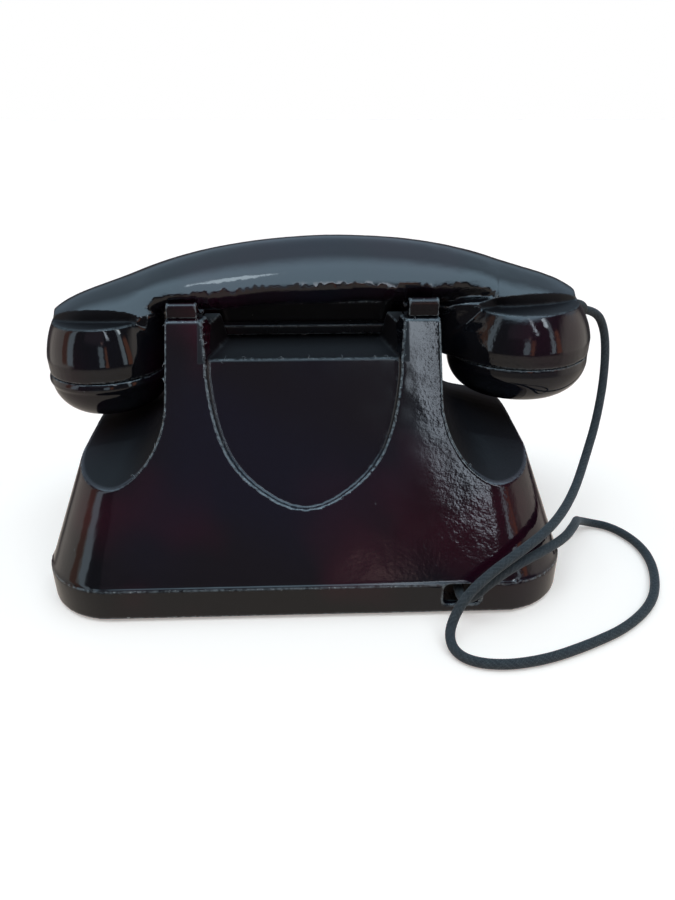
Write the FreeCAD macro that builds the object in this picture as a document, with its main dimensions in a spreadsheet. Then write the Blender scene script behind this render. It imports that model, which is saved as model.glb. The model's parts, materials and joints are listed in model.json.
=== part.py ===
import FreeCAD, Part
import math
import os
from FreeCAD import Vector, Placement, Rotation

# Desk telephone, millimetres, +Z up. The origin is the centre of the base pad's
# lower face. -Y is the back of the set (cord slot), +Y the front (dial).

doc = FreeCAD.newDocument("telephone")
sheet = doc.addObject("Spreadsheet::Sheet", "dims")

DIMENSIONS = [
    # housing
    ("skirt_width", 222.0), ("skirt_depth", 165.0), ("skirt_radius", 31.0),
    ("rim_z", 1.2), ("skirt_top_z", 15.6), ("crease_step", 0.8),
    ("tower_top_z", 109.5), ("top_half_width", 78.0), ("top_back_y", -23.8),
    ("top_front_y", 14.0), ("top_radius", 11.0),
    ("wall", 3.4), ("back_wall", 7.0), ("roof_z", 91.5),
    ("tower_outer_x", 58.0),
    ("ledge_z", 94.7), ("ledge_half_back", 41.0), ("ledge_half_mid", 34.7),
    ("ledge_draft", 4.0), ("shield_depth", 2.8), ("wall_back_y", 9.2), ("wall_top_z", 108.6),
    ("slot_left", 56.0), ("slot_right", 71.0), ("slot_low", 5.3), ("slot_high", 15.0),
    # base
    ("plate_thick", 2.0), ("pad_thick", 1.2), ("screw_x", 84.0), ("screw_y", 56.0),
    ("boss_radius", 4.6), ("screw_radius", 1.9), ("screw_hole_radius", 2.15),
    # dial, on the front face
    ("dial_along", 50.0), ("dial_opening_radius", 34.5), ("dial_case_radius", 34.0),
    ("dial_flange_radius", 38.0), ("plate_radius", 36.6), ("wheel_radius", 35.0),
    ("wheel_thick", 1.6), ("finger_circle", 27.0), ("finger_hole_radius", 6.0),
    ("shaft_radius", 3.0), ("running_gap", 0.05),
    ("gear_module", 0.7), ("gear_teeth", 60.0), ("pinion_teeth", 12.0),
    ("gear_thick", 2.0), ("gear_centres", 25.2),
    # cradle
    ("bar_low_z", 95.2), ("bar_high_z", 99.7), ("bar_back_y", 1.0), ("bar_front_y", 8.0),
    ("stem_x", 28.0), ("stem_radius", 2.5), ("stem_low_z", 50.0),
    ("saddle_inner_x", 44.6), ("saddle_outer_x", 57.4), ("saddle_low_z", 106.4),
    ("horn_z", 116.0), ("saddle_radius", 17.25),
    # handset
    ("handset_x", 7.5), ("handset_y", -3.5), ("handset_yaw", 2.5), ("handset_tilt", 1.0),
    ("ear_x", 95.3), ("ear_radius", 26.0), ("ear_shoulder", 21.0),
    ("mouth_x", 90.8), ("mouth_radius", 32.2), ("mouth_shoulder", 25.4),
    ("shoulder_z", 109.2), ("seam_z", 86.9), ("cap_low_z", 69.4), ("bore_top_z", 98.0),
    ("neck_wall", 2.8), ("bore_wall", 5.2), ("capsule_wall", 5.7), ("bushing_x", 95.5),
    # ringer
    ("gong_x", 31.0), ("gong_y", -40.0), ("gong_radius", 27.0), ("gong_crown_z", 38.0),
    ("gong_wall", 1.5),
    # cord
    ("cord_radius", 2.0),
]
for row, (alias, value) in enumerate(DIMENSIONS, 1):
    sheet.set("A%d" % row, alias)
    sheet.set("B%d" % row, "%g" % value)
    sheet.setAlias("B%d" % row, alias)
doc.recompute()


def dim(alias):
    return float(sheet.get(alias))


def bind(obj, prop, value):
    """A number is set as it is; words are an expression over the sheet's aliases."""
    if isinstance(value, str):
        obj.setExpression(prop, value)
    else:
        setattr(obj, prop, value)


NODES = []


def node(obj, label):
    obj.Label = label
    NODES.append(obj)
    return obj


# ---- Part primitives -------------------------------------------------------

def box(name, size, corner):
    o = doc.addObject("Part::Box", name)
    for prop, value in zip(("Length", "Width", "Height"), size):
        bind(o, prop, value)
    o.Placement = Placement(Vector(*corner), Rotation())
    return o


def cylinder(name, radius, height, base, axis=(0, 0, 1)):
    o = doc.addObject("Part::Cylinder", name)
    bind(o, "Radius", radius)
    bind(o, "Height", height)
    o.Placement = Placement(Vector(*base), Rotation(Vector(0, 0, 1), Vector(*axis)))
    return o


def cut(name, base, tool):
    o = doc.addObject("Part::Cut", name)
    o.Base, o.Tool = base, tool
    return o


def fuse(name, shapes):
    o = doc.addObject("Part::MultiFuse", name)
    o.Shapes = shapes
    return o


def group(name, shapes):
    """Identical separate solids that share one node."""
    o = doc.addObject("Part::Compound", name)
    o.Links = shapes
    return o


def move(obj, placement):
    obj.Placement = placement.multiply(obj.Placement)
    return obj


# ---- PartDesign helpers ----------------------------------------------------

def new_body(name):
    return doc.addObject("PartDesign::Body", name)


def origin_plane(body, role):
    return [o for o in body.Origin.OriginFeatures if o.Role == role][0]


def new_sketch(body, name, role="XY_Plane", offset=(0, 0, 0), turn=None):
    sk = body.newObject("Sketcher::SketchObject", name)
    sk.AttachmentSupport = (origin_plane(body, role), "")
    sk.MapMode = "FlatFace"
    sk.AttachmentOffset = Placement(Vector(*offset), turn or Rotation())
    return sk


def outline(sk, start, steps):
    """Closed outline: a step of one point is a line, of two is an arc through the first."""
    here = Vector(start[0], start[1], 0)
    ids = []
    for step in steps:
        if len(step) == 2 and not isinstance(step[0], (tuple, list)):
            there = Vector(step[0], step[1], 0)
            ids.append(sk.addGeometry(Part.LineSegment(here, there), False))
        else:
            mid, end = step
            there = Vector(end[0], end[1], 0)
            ids.append(sk.addGeometry(Part.Arc(here, Vector(mid[0], mid[1], 0), there), False))
        here = there
    return ids


def circle(sk, radius, centre=(0, 0), expression=None):
    import Sketcher
    g = sk.addGeometry(Part.Circle(Vector(centre[0], centre[1], 0), Vector(0, 0, 1), radius), False)
    if abs(centre[0]) < 1e-9 and abs(centre[1]) < 1e-9:
        sk.addConstraint(Sketcher.Constraint("Coincident", g, 3, -1, 1))
    else:
        sk.addConstraint(Sketcher.Constraint("DistanceX", -1, 1, g, 3, centre[0]))
        sk.addConstraint(Sketcher.Constraint("DistanceY", -1, 1, g, 3, centre[1]))
    k = sk.addConstraint(Sketcher.Constraint("Radius", g, radius))
    if expression:
        sk.setExpression("Constraints[%d]" % k, expression)
    return g


def rounded(sk, x0, x1, y0, y1, r):
    """Rounded rectangle, counter-clockwise from its lower left."""
    k = r * (1 - math.sqrt(0.5))
    outline(sk, (x0 + r, y0), [
        (x1 - r, y0), ((x1 - k, y0 + k), (x1, y0 + r)),
        (x1, y1 - r), ((x1 - k, y1 - k), (x1 - r, y1)),
        (x0 + r, y1), ((x0 + k, y1 - k), (x0, y1 - r)),
        (x0, y0 + r), ((x0 + k, y0 + k), (x0 + r, y0))])


def feature(body, kind, name, profile, **props):
    f = body.newObject("PartDesign::" + kind, name)
    f.Profile = profile
    for prop, value in props.items():
        bind(f, prop, value)
    return f


def pad(body, name, profile, length, **props):
    return feature(body, "Pad", name, profile, Length=length, **props)


def pocket(body, name, profile, length, **props):
    before = shape_volume(body)
    f = feature(body, "Pocket", name, profile, Length=length, **props)
    doc.recompute()
    if not shape_volume(body) < before - 1e-3:
        raise RuntimeError("pocket %s cuts nothing" % name)
    return f


def shape_volume(body):
    doc.recompute()
    return body.Shape.Volume


def revolve(body, name, sk, kind="Revolution"):
    f = body.newObject("PartDesign::" + kind, name)
    f.Profile = sk
    f.ReferenceAxis = (sk, ["V_Axis"])
    f.Angle = 360.0
    return f


def turned(label, start, steps, at=(0, 0, 0), placement=None, holes=None):
    """A turned piece: its half section (radius, height) goes round the upright axis."""
    b = new_body(label)
    sk = new_sketch(b, label + "_section", "XZ_Plane", (at[0], 0, 0))
    outline(sk, start, steps)
    revolve(b, label + "_turn", sk)
    if holes:
        hs = new_sketch(b, label + "_holes", "XY_Plane", (0, 0, holes["z"]))
        for cx, cy, r in holes["at"]:
            circle(hs, r, (cx, cy))
        pocket(b, label + "_pierce", hs, holes["deep"], Reversed=holes.get("up", False))
    if placement is not None:
        b.Placement = placement
    return b


# ---- housing ---------------------------------------------------------------

HW, HD, SR = dim("skirt_width") / 2, dim("skirt_depth") / 2, dim("skirt_radius")
ZS, ZT, STEP = dim("skirt_top_z"), dim("tower_top_z"), dim("crease_step")
BACK_LEAN = (dim("top_back_y") + HD - STEP) / (ZT - ZS)
FRONT_LEAN = (HD - STEP - dim("top_front_y")) / (ZT - ZS)
SIDE_LEAN = (HW - STEP - dim("top_half_width")) / (ZT - ZS)


# Rows of the side scoop: (y, radius of the hollow, fall of its floor outwards,
# height of the floor at 85 mm from the middle). The floor climbs from the back
# and the front to a rounded ridge under the handset's cups.
SCOOP_ROWS = [(-110.0, 27.0, 0.10, 27.6), (-62.0, 27.0, 0.12, 48.0), (-35.0, 21.0, 0.20, 59.0),
              (-15.0, 17.0, 0.27, 62.6), (-10.0, 16.3, 0.28, 63.2), (-5.0, 16.0, 0.28, 63.4),
              (0.0, 16.3, 0.28, 63.2), (5.0, 17.0, 0.27, 62.6), (25.0, 21.0, 0.20, 59.0),
              (52.0, 27.0, 0.12, 48.0), (100.0, 27.0, 0.10, 27.6)]


def scoop_cut(body, name, side, grow):
    """Side scoop: a hollow corner beside the tower, carried from back to front."""
    x0, far, top = dim("tower_outer_x") - grow, 134.0, 150.0
    sketches = []
    for i, (y, r, fall, z85) in enumerate(SCOOP_ROWS):
        r += grow
        sk = new_sketch(body, "%s_row%d" % (name, i), "XZ_Plane", (0, 0, -y))
        end = math.atan2(1.0, fall)
        xe, drop = x0 + r - r * math.cos(end), r * math.sin(end)
        floor = z85 - grow
        ze = floor + fall * (85.0 - xe)
        zc = ze + drop
        mid = end / 2
        outline(sk, (side * x0, zc), [
            ((side * (x0 + r - r * math.cos(mid)), zc - r * math.sin(mid)), (side * xe, ze)),
            (side * far, ze - fall * (far - xe)), (side * far, top), (side * x0, top), (side * x0, zc)])
        sketches.append(sk)
    f = body.newObject("PartDesign::SubtractiveLoft", name)
    f.Profile = sketches[0]
    f.Sections = sketches[1:]
    f.Ruled = True
    return f


def shell_block(name, side_gap, back_gap, front_gap, low, high, radius_cut):
    b = new_body(name)
    sk = new_sketch(b, name + "_plan", "XY_Plane", (0, 0, low))
    g = side_gap
    rounded(sk, -HW + g, HW - g, -HD + g, HD - g, SR - g)
    pad(b, name + "_skirt", sk, ZS - low)
    base = new_sketch(b, name + "_foot", "XY_Plane", (0, 0, ZS))
    rounded(base, -HW + STEP + g, HW - STEP - g, -HD + STEP + back_gap, HD - STEP - front_gap, SR - STEP - radius_cut)
    top = new_sketch(b, name + "_head", "XY_Plane", (0, 0, high))
    rise = high - ZS
    k = rise / (ZT - ZS)
    rt = (1 - k) * (SR - STEP) + k * dim("top_radius") - radius_cut
    rounded(top, -HW + STEP + SIDE_LEAN * rise + g, HW - STEP - SIDE_LEAN * rise - g,
            -HD + STEP + BACK_LEAN * rise + back_gap, HD - STEP - FRONT_LEAN * rise - front_gap, rt)
    f = b.newObject("PartDesign::AdditiveLoft", name + "_slopes")
    f.Profile = base
    f.Sections = [top]
    f.Ruled = True
    return b


outer = shell_block("housing_outside", 0.0, 0.0, 0.0, dim("rim_z"), ZT, 0.0)
for side, tag in ((-1, "left"), (1, "right")):
    scoop_cut(outer, "scoop_" + tag, side, 0.0)

# Saddle gap between the towers, open to the back; a low wall closes it at the front.
lz, hb, hm, dr = dim("ledge_z"), dim("ledge_half_back"), dim("ledge_half_mid"), dim("ledge_draft")
pair = []
for i, (z, e) in enumerate(((lz, 0.0), (lz + 17.3, dr))):
    sk = new_sketch(outer, "gap_row%d" % i, "XY_Plane", (0, 0, z))
    a, c = hb + 2.2 + e, hm + e
    wy = dim("wall_back_y")
    outline(sk, (-a, -45), [(a, -45), (c, 0.0), (c, wy), (-c, wy), (-c, 0.0), (-a, -45)])
    pair.append(sk)
gap = outer.newObject("PartDesign::SubtractiveLoft", "saddle_gap")
gap.Profile = pair[0]
gap.Sections = [pair[1]]
gap.Ruled = True
doc.recompute()

# Shield-shaped grip recess, sunk square to the sloping back face.
lean = math.degrees(math.atan(BACK_LEAN))
sk = new_sketch(outer, "shield_outline", "XZ_Plane", (0, ZS, HD - STEP), Rotation(Vector(1, 0, 0), -lean))
along = math.cos(math.radians(lean))
knots = [(-40.6, 88.0), (-37.0, 68.0), (-30.4, 51.7), (-17.0, 38.1), (0, 31.4),
         (17.0, 38.1), (30.4, 51.7), (37.0, 68.0), (40.6, 88.0)]
curve = Part.BSplineCurve()
curve.interpolate([Vector(x, y, 0) for x, y in knots])
sk.addGeometry(curve, False)
outline(sk, (40.6, 88.0), [(41.4, 118.0), (-41.4, 118.0), (-40.6, 88.0)])
pocket(outer, "shield", sk, "dims.shield_depth")

# Cord slot in the back of the skirt.
sk = new_sketch(outer, "slot_outline", "XZ_Plane")
rounded(sk, dim("slot_left"), dim("slot_right"), dim("slot_low"), dim("slot_high"), 2.0)
pocket(outer, "cord_slot", sk, 120.0, Reversed=True)

inner = shell_block("housing_inside", dim("wall"), dim("back_wall"), 4.0, -2.0, dim("roof_z"), 3.0)
for side, tag in ((-1, "left"), (1, "right")):
    scoop_cut(inner, "inside_scoop_" + tag, side, 3.2)
doc.recompute()

bosses = [cylinder("boss_%d" % i, "dims.boss_radius", 80.0, (sx * dim("screw_x"), sy * dim("screw_y"), 3.2))
          for i, (sx, sy) in enumerate(((-1, -1), (1, -1), (1, 1), (-1, 1)))]
hollow = cut("housing_hollow", inner, fuse("boss_columns", bosses))
shell = cut("housing_shell", outer, hollow)

# Frame of the dial: +Z out of the front face, +Y down the slope.
front_angle = math.degrees(math.atan(FRONT_LEAN))
sd = dim("dial_along")
dial_centre = Vector(0, HD - STEP - sd * math.sin(math.radians(front_angle)), ZS + sd * math.cos(math.radians(front_angle)))
DIAL = Placement(dial_centre, Rotation(Vector(1, 0, 0), -(90 - front_angle)))
dial_axis = DIAL.Rotation.multVec(Vector(0, 0, 1))

openings = [move(cylinder("dial_opening", "dims.dial_opening_radius", 40.0, (0, 0, -30)), DIAL)]
for i, (sx, sy) in enumerate(((-1, -1), (1, -1), (1, 1), (-1, 1))):
    openings.append(cylinder("boss_hole_%d" % i, 2.0, 16.8, (sx * dim("screw_x"), sy * dim("screw_y"), 3.2)))
for i, sx in enumerate((-1, 1)):
    openings.append(cylinder("stem_hole_%d" % i, "dims.stem_radius + 0.1", 8.0, (sx * dim("stem_x"), 4.5, 88.0)))
openings.append(cylinder("plunger_hole", 2.1, 8.0, (0, 5.0, 88.0)))
openings.append(cylinder("line_hole", 5.0, 12.0, (-118.0, 20.0, 9.0), (1, 0, 0)))
# Groove through both towers for the cross bar and the saddles' stems.
openings.append(box("bar_groove", (109.0, 7.8, 20.0), (-54.5, 0.6, 94.7)))
# The front wall of the gap ends lower than the towers.
openings.append(box("wall_notch", (75.2, 40.0, 20.0), (-37.6, 9.0, dim("wall_top_z"))))
# Notch across each tower's top under its saddle.
notch = box("saddle_notch", (160.0, 22.0, 8.0), (-80.0, -16.0, 106.0))
openings.append(notch)
housing = node(cut("housing_cut", shell, fuse("housing_openings", openings)), "housing")

# ---- base ------------------------------------------------------------------

def plate(label, z, thick, gap_, hole, expression):
    b = new_body(label)
    sk = new_sketch(b, label + "_plan", "XY_Plane", (0, 0, z))
    rounded(sk, -HW + gap_, HW - gap_, -HD + gap_, HD - gap_, SR - gap_)
    pad(b, label + "_pad", sk, expression)
    hs = new_sketch(b, label + "_holes", "XY_Plane", (0, 0, z + thick))
    for sx in (-1, 1):
        for sy in (-1, 1):
            circle(hs, hole, (sx * dim("screw_x"), sy * dim("screw_y")))
    pocket(b, label + "_drill", hs, thick + 1.0)
    return b


node(plate("base_plate_body", dim("rim_z"), dim("plate_thick"), 3.7, dim("screw_hole_radius"), "dims.plate_thick"), "base_plate")
node(plate("base_pad_body", 0.0, dim("pad_thick"), 7.0, 4.6, "dims.pad_thick"), "base_pad")
screws = []
for i, (sx, sy) in enumerate(((-1, -1), (1, -1), (1, 1), (-1, 1))):
    x, y = sx * dim("screw_x"), sy * dim("screw_y")
    screws.append(fuse("base_screw_%d" % i, [
        cylinder("base_screw_head_%d" % i, 3.8, 1.0, (x, y, 0.2)),
        cylinder("base_screw_shank_%d" % i, "dims.screw_radius", 14.0, (x, y, 1.2))]))
node(group("base_screw_group", screws), "base_screws")

TOP = dim("rim_z") + dim("plate_thick")   # upper face of the base plate

# ---- line cord inlet -------------------------------------------------------
node(turned("line_inlet_body", (2.75, 0), [(4.95, 0), (4.95, 3.5), (6.6, 3.5), (6.6, 6.0), (2.75, 6.0), (2.75, 0)],
            placement=Placement(Vector(-107.5, 20, 9.0), Rotation(Vector(0, 0, 1), Vector(-1, 0, 0)))), "line_cord_inlet")

# ---- ringer ----------------------------------------------------------------
gx, gy, gr, gz = dim("gong_x"), dim("gong_y"), dim("gong_radius"), dim("gong_crown_z")
gw = dim("gong_wall")
for tag, sx in (("left", -1), ("right", 1)):
    node(turned("gong_%s_body" % tag, (2.2, gz), [
        (9.0, gz), ((21.5, gz - 3.2), (gr - 1.0, gz - 9.0)), (gr, gz - 14.0), (gr - gw, gz - 14.0),
        (gr - gw - 1.0, gz - 9.0), ((20.6, gz - 4.4), (9.0, gz - gw)), (2.2, gz - gw), (2.2, gz)],
        placement=Placement(Vector(sx * gx, gy, 0), Rotation())), "gong_" + tag)
posts, gscrews = [], []
for i, sx in enumerate((-1, 1)):
    posts.append(cylinder("gong_post_%d" % i, 4.0, gz - gw - TOP - 2.0, (sx * gx, gy, TOP + 2.0)))
    gscrews.append(fuse("gong_screw_%d" % i, [
        cylinder("gong_screw_head_%d" % i, 3.6, 2.2, (sx * gx, gy, gz)),
        cylinder("gong_screw_neck_%d" % i, 2.1, gw, (sx * gx, gy, gz - gw))]))
node(group("gong_post_group", posts), "gong_posts")
node(group("gong_screw_group", gscrews), "gong_screws")
frame_plate = box("ringer_plate", (80.0, 44.0, 2.0), (-40.0, -56.0, TOP))
yoke = box("ringer_yoke", (38.0, 2.5, 17.0), (-19.0, -56.0, TOP + 2.0))
node(fuse("ringer_frame_fuse", [frame_plate, yoke]), "ringer_frame")
coils = []
for i, sx in enumerate((-1, 1)):
    core = cylinder("ringer_core_%d" % i, 3.0, 30.9, (sx * 11.0, -53.5, 14.5), (0, 1, 0))
    winding = cylinder("ringer_winding_%d" % i, 7.5, 25.5, (sx * 11.0, -52.5, 14.5), (0, 1, 0))
    coils.append(fuse("ringer_coil_%d" % i, [core, winding]))
node(group("ringer_coil_group", coils), "ringer_coils")
node(box("ringer_magnet_box", (6.0, 24.0, 7.4), (-3.0, -50.0, TOP + 2.2)), "ringer_magnet")
# The armature turns on an upright pin in front of the coils; the arm over the
# coils carries the ball to the gap between the gongs.
arm_y = -20.0
node(cylinder("armature_pin_rod", 1.5, 25.0, (0, arm_y, TOP + 2.0)), "armature_pin")
node(fuse("armature_fuse", [
    cut("armature_ring", cylinder("armature_hub", 3.2, 8.0, (0, arm_y, 10.5)), cylinder("armature_bore", 1.55, 9.0, (0, arm_y, 10.0))),
    box("armature_left", (14.0, 2.0, 8.0), (-17.0, arm_y - 1.0, 10.5)),
    box("armature_right", (14.0, 2.0, 8.0), (3.0, arm_y - 1.0, 10.5))]), "ringer_armature")
rod = fuse("clapper_rod", [
    cut("clapper_ring", cylinder("clapper_hub", 3.2, 4.0, (0, arm_y, 24.4)), cylinder("clapper_bore", 1.55, 5.0, (0, arm_y, 24.0))),
    cylinder("clapper_wire", 0.8, 16.5, (0, arm_y - 2.6, 26.4), (0, -1, 0)),
])
ball = doc.addObject("Part::Sphere", "clapper_ball")
ball.Radius = 2.6
ball.Placement = Placement(Vector(0, arm_y - 20.0, 26.4), Rotation())
node(fuse("clapper_fuse", [rod, ball]), "clapper")

# ---- network parts ---------------------------------------------------------
coil_body = turned("induction_coil_body", (4.0, 0), [
    (13.0, 0), (13.0, 2.0), (10.5, 2.0), (10.5, 46.0), (13.0, 46.0), (13.0, 48.0), (4.0, 48.0), (4.0, 0)],
    placement=Placement(Vector(-82.0, 30.0, TOP + 13.2), Rotation(Vector(0, 0, 1), Vector(1, 0, 0))))
node(coil_body, "induction_coil")
node(cylinder("induction_core_rod", 3.9, 52.0, (-84.0, 30.0, TOP + 13.2), (1, 0, 0)), "induction_core")
can = new_body("capacitor_body")
sk = new_sketch(can, "capacitor_plan", "XY_Plane", (0, 0, TOP))
rounded(sk, 40.0, 84.0, 10.0, 38.0, 3.0)
pad(can, "capacitor_pad", sk, 24.0)
node(can, "capacitor")
block = new_body("terminal_block_body")
sk = new_sketch(block, "terminal_plan", "XY_Plane", (0, 0, TOP))
rounded(sk, 48.0, 100.0, -24.0, -6.0, 2.0)
pad(block, "terminal_pad", sk, 9.0)
hs = new_sketch(block, "terminal_holes", "XY_Plane", (0, 0, TOP + 9.0))
for i in range(5):
    circle(hs, 1.6, (54.0 + i * 10.0, -15.0))
pocket(block, "terminal_drill", hs, 7.0)
node(block, "terminal_block")
tscrews = []
for i in range(5):
    x = 54.0 + i * 10.0
    tscrews.append(fuse("terminal_screw_%d" % i, [
        cylinder("terminal_head_%d" % i, 2.8, 1.6, (x, -15.0, TOP + 9.0)),
        cylinder("terminal_shank_%d" % i, 1.5, 6.0, (x, -15.0, TOP + 3.0))]))
node(group("terminal_screw_group", tscrews), "terminal_screws")
# Cord clamp inside the slot: the cord's end lies flat against it.
clamp = cut("cord_clamp_cut", box("cord_clamp_block", (14.0, 8.0, 12.0), (56.0, -72.0, TOP)),
            cylinder("cord_clamp_screw_hole", 1.2, 20.0, (67.5, -68.0, TOP - 2.0)))
node(clamp, "cord_clamp")

# ---- dial ------------------------------------------------------------------
case = new_body("dial_case_body")
sk = new_sketch(case, "dial_case_section", "XZ_Plane")
rc, rf = dim("dial_case_radius"), dim("dial_flange_radius")
outline(sk, (3.0 + 0.06, -28.0), [(rc, -28.0), (rc, 0.05), (rf - 0.6, 0.05), ((rf, 0.4), (rf, 1.2)), (rf - 0.5, 1.9), (rc - 1.6, 1.9),
                        (rc - 1.6, -26.4), (3.0 + 0.06, -26.4), (3.06, -28.0)])
revolve(case, "dial_case_turn", sk)
hs = new_sketch(case, "dial_case_holes", "XY_Plane", (0, 0, -26.0))
circle(hs, 1.56, (dim("gear_centres"), 0))
pocket(case, "dial_case_drill", hs, 4.0)
case.Placement = DIAL
node(case, "dial_case")
node(turned("number_plate_body", (7.0, 1.9), [(dim("plate_radius"), 1.9), (dim("plate_radius"), 2.7), (35.8, 3.0), (7.0, 3.0), (7.0, 1.9)],
            placement=DIAL), "number_plate")
node(turned("dial_clamp_body", (rc + 0.3, -7.6), [(40.0, -7.6), (40.0, -5.6), (rc + 0.3, -5.6), (rc + 0.3, -7.6)],
            placement=DIAL), "dial_clamp_ring")

wheel = new_body("finger_wheel_body")
sk = new_sketch(wheel, "finger_wheel_section", "XZ_Plane")
outline(sk, (3.0, 3.3), [(6.0, 3.3), (6.0, 4.4), (34.0, 4.4), ((34.85, 4.6), (35.0, 5.2)), ((34.85, 5.8), (34.0, 6.0)), (3.0, 6.0), (3.0, 3.3)])
revolve(wheel, "finger_wheel_turn", sk)
# Ten finger holes, 30 degrees apart; seen from the front the first is 60 degrees past the stop.
first = 15.0
hs = new_sketch(wheel, "finger_hole", "XY_Plane", (0, 0, 6.0))
a0 = math.radians(180.0 + first)
circle(hs, dim("finger_hole_radius"), (dim("finger_circle") * -math.cos(math.radians(first)),
                                       dim("finger_circle") * -math.sin(math.radians(first))))
hole = pocket(wheel, "finger_hole_cut", hs, 4.0)
pattern = wheel.newObject("PartDesign::PolarPattern", "finger_holes")
pattern.Originals = [hole]
pattern.Axis = (hs, ["N_Axis"])
pattern.Angle = 270.0
pattern.Occurrences = 10
pattern.Reversed = False
wheel.Tip = pattern
doc.recompute()
wheel.Placement = DIAL
node(wheel, "finger_wheel")
node(turned("dial_card_body", (0, 6.0), [(13.0, 6.0), (13.4, 6.5), ((13.0, 7.3), (12.0, 7.5)), (0, 7.9), (0, 6.0)], placement=DIAL), "dial_card_cap")
node(move(cylinder("dial_shaft_rod", "dims.shaft_radius", 34.0, (0, 0, -28.0)), DIAL), "dial_shaft")


def gear(name, teeth, tip, root, tooth_root, tooth_tip, bore, low, thick, phase):
    """Spur gear with straight-sided teeth a little narrower than their gaps."""
    b = new_body(name)
    sk = new_sketch(b, name + "_blank", "XY_Plane", (0, 0, low))
    circle(sk, root)
    circle(sk, bore)
    pad(b, name + "_disc", sk, "dims.gear_thick")
    ts = new_sketch(b, name + "_tooth", "XY_Plane", (0, 0, low))
    c, s_ = math.cos(phase), math.sin(phase)

    def at(r, w):
        return (r * c - w * s_, r * s_ + w * c)
    outline(ts, at(root - 0.4, -tooth_root / 2), [at(root, -tooth_root / 2), at(tip, -tooth_tip / 2), at(tip, tooth_tip / 2),
                                                  at(root, tooth_root / 2), at(root - 0.4, tooth_root / 2), at(root - 0.4, -tooth_root / 2)])
    tooth = pad(b, name + "_first", ts, "dims.gear_thick")
    p = b.newObject("PartDesign::PolarPattern", name + "_teeth")
    p.Originals = [tooth]
    p.Axis = (ts, ["N_Axis"])
    p.Angle = 360.0
    p.Occurrences = int(teeth)
    b.Tip = p
    doc.recompute()
    return b


m_, z1, z2 = dim("gear_module"), dim("gear_teeth"), dim("pinion_teeth")
r1, r2 = m_ * z1 / 2, m_ * z2 / 2
main_gear = gear("dial_gear_body", z1, r1 + 0.42, r1 - 0.75, 1.15, 0.45, 3.0, -14.0, 2.0, 0.0)
main_gear.Placement = DIAL
node(main_gear, "dial_gear")
pinion = gear("governor_pinion_body", z2, r2 + 0.42, r2 - 0.75, 1.15, 0.40, 1.5, -14.0, 2.0, math.pi + math.pi / z2)
GOV = DIAL.multiply(Placement(Vector(dim("gear_centres"), 0, 0), Rotation()))
pinion.Placement = GOV
node(pinion, "governor_pinion")
node(move(fuse("governor_rotor_fuse", [
    cylinder("governor_shaft", 1.5, 26.0, (0, 0, -28.0)),
    cylinder("governor_drum", 4.6, 6.0, (0, 0, -9.5)),
    box("governor_fly", (11.0, 3.0, 3.0), (-5.5, -1.5, -6.5))]), GOV), "governor_rotor")
node(turned("return_spring_body", (7.0, -24.0), [(17.0, -24.0), (17.0, -19.0), (7.0, -19.0), (7.0, -24.0)], placement=DIAL), "dial_return_spring")
node(move(fuse("pulse_contacts_fuse", [
    box("pulse_block", (8.0, 6.0, 10.0), (-30.0, -3.0, -26.4)),
    box("pulse_leaf_a", (12.0, 0.5, 3.7), (-24.0, -1.5, -18.5)),
    box("pulse_leaf_b", (12.0, 0.5, 3.7), (-24.0, 1.0, -18.5))]), DIAL), "pulse_contacts")
# Finger stop: a hook from the flange over the wheel's rim, at the lower right seen from the front.
stop_turn = Rotation(Vector(0, 0, 1), -45.0 + 180.0)
stop = fuse("finger_stop_fuse", [
    box("stop_foot", (1.0, 5.0, 6.6), (36.75, -2.5, 1.95)),
    box("stop_hook", (15.0, 5.0, 1.2), (22.75, -2.5, 7.35))])
move(stop, Placement(Vector(0, 0, 0), Rotation(Vector(0, 0, 1), 135.0)))
move(stop, DIAL)
node(stop, "finger_stop")

# ---- hook switch and cradle ------------------------------------------------
b0, b1 = dim("bar_low_z"), dim("bar_high_z")
y0, y1 = dim("bar_back_y"), dim("bar_front_y")
sx0 = dim("stem_x")
switch_frame = cut("switch_frame_cut", fuse("switch_frame_fuse", [
    box("switch_top", (72.0, 25.0, 2.0), (-36.0, -16.0, 58.0)),
    box("switch_leg_left", (2.0, 12.5, 54.8), (-36.0, -3.5, TOP)),
    box("switch_leg_right", (2.0, 12.5, 54.8), (34.0, -3.5, TOP)),
    box("switch_ear_left", (1.6, 8.0, 10.0), (-11.6, -15.0, 60.0)),
    box("switch_ear_right", (1.6, 8.0, 10.0), (10.0, -15.0, 60.0))]),
    fuse("switch_frame_holes", [
        cylinder("switch_hole_left", "dims.stem_radius + 0.1", 6.0, (-sx0, 4.5, 56.0)),
        cylinder("switch_hole_right", "dims.stem_radius + 0.1", 6.0, (sx0, 4.5, 56.0)),
        cylinder("switch_pivot_hole", 1.55, 30.0, (-15.0, -11.0, 66.0), (1, 0, 0))]))
node(switch_frame, "hook_switch_frame")
node(cylinder("hook_pivot_rod", 1.5, 24.0, (-12.0, -11.0, 66.0), (1, 0, 0)), "hook_pivot_pin")
node(fuse("hook_contacts_fuse", [
    box("contact_block", (8.0, 6.0, 11.0), (12.2, -15.0, 60.0)),
    box("contact_leaf_a", (6.0, 22.0, 0.5), (13.2, -15.0, 73.4)),
    box("contact_leaf_b", (6.0, 20.0, 0.5), (13.2, -15.0, 75.4)),
    box("contact_post", (3.0, 3.0, 7.0), (14.7, -13.5, 70.0))]), "hook_contact_springs")
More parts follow.
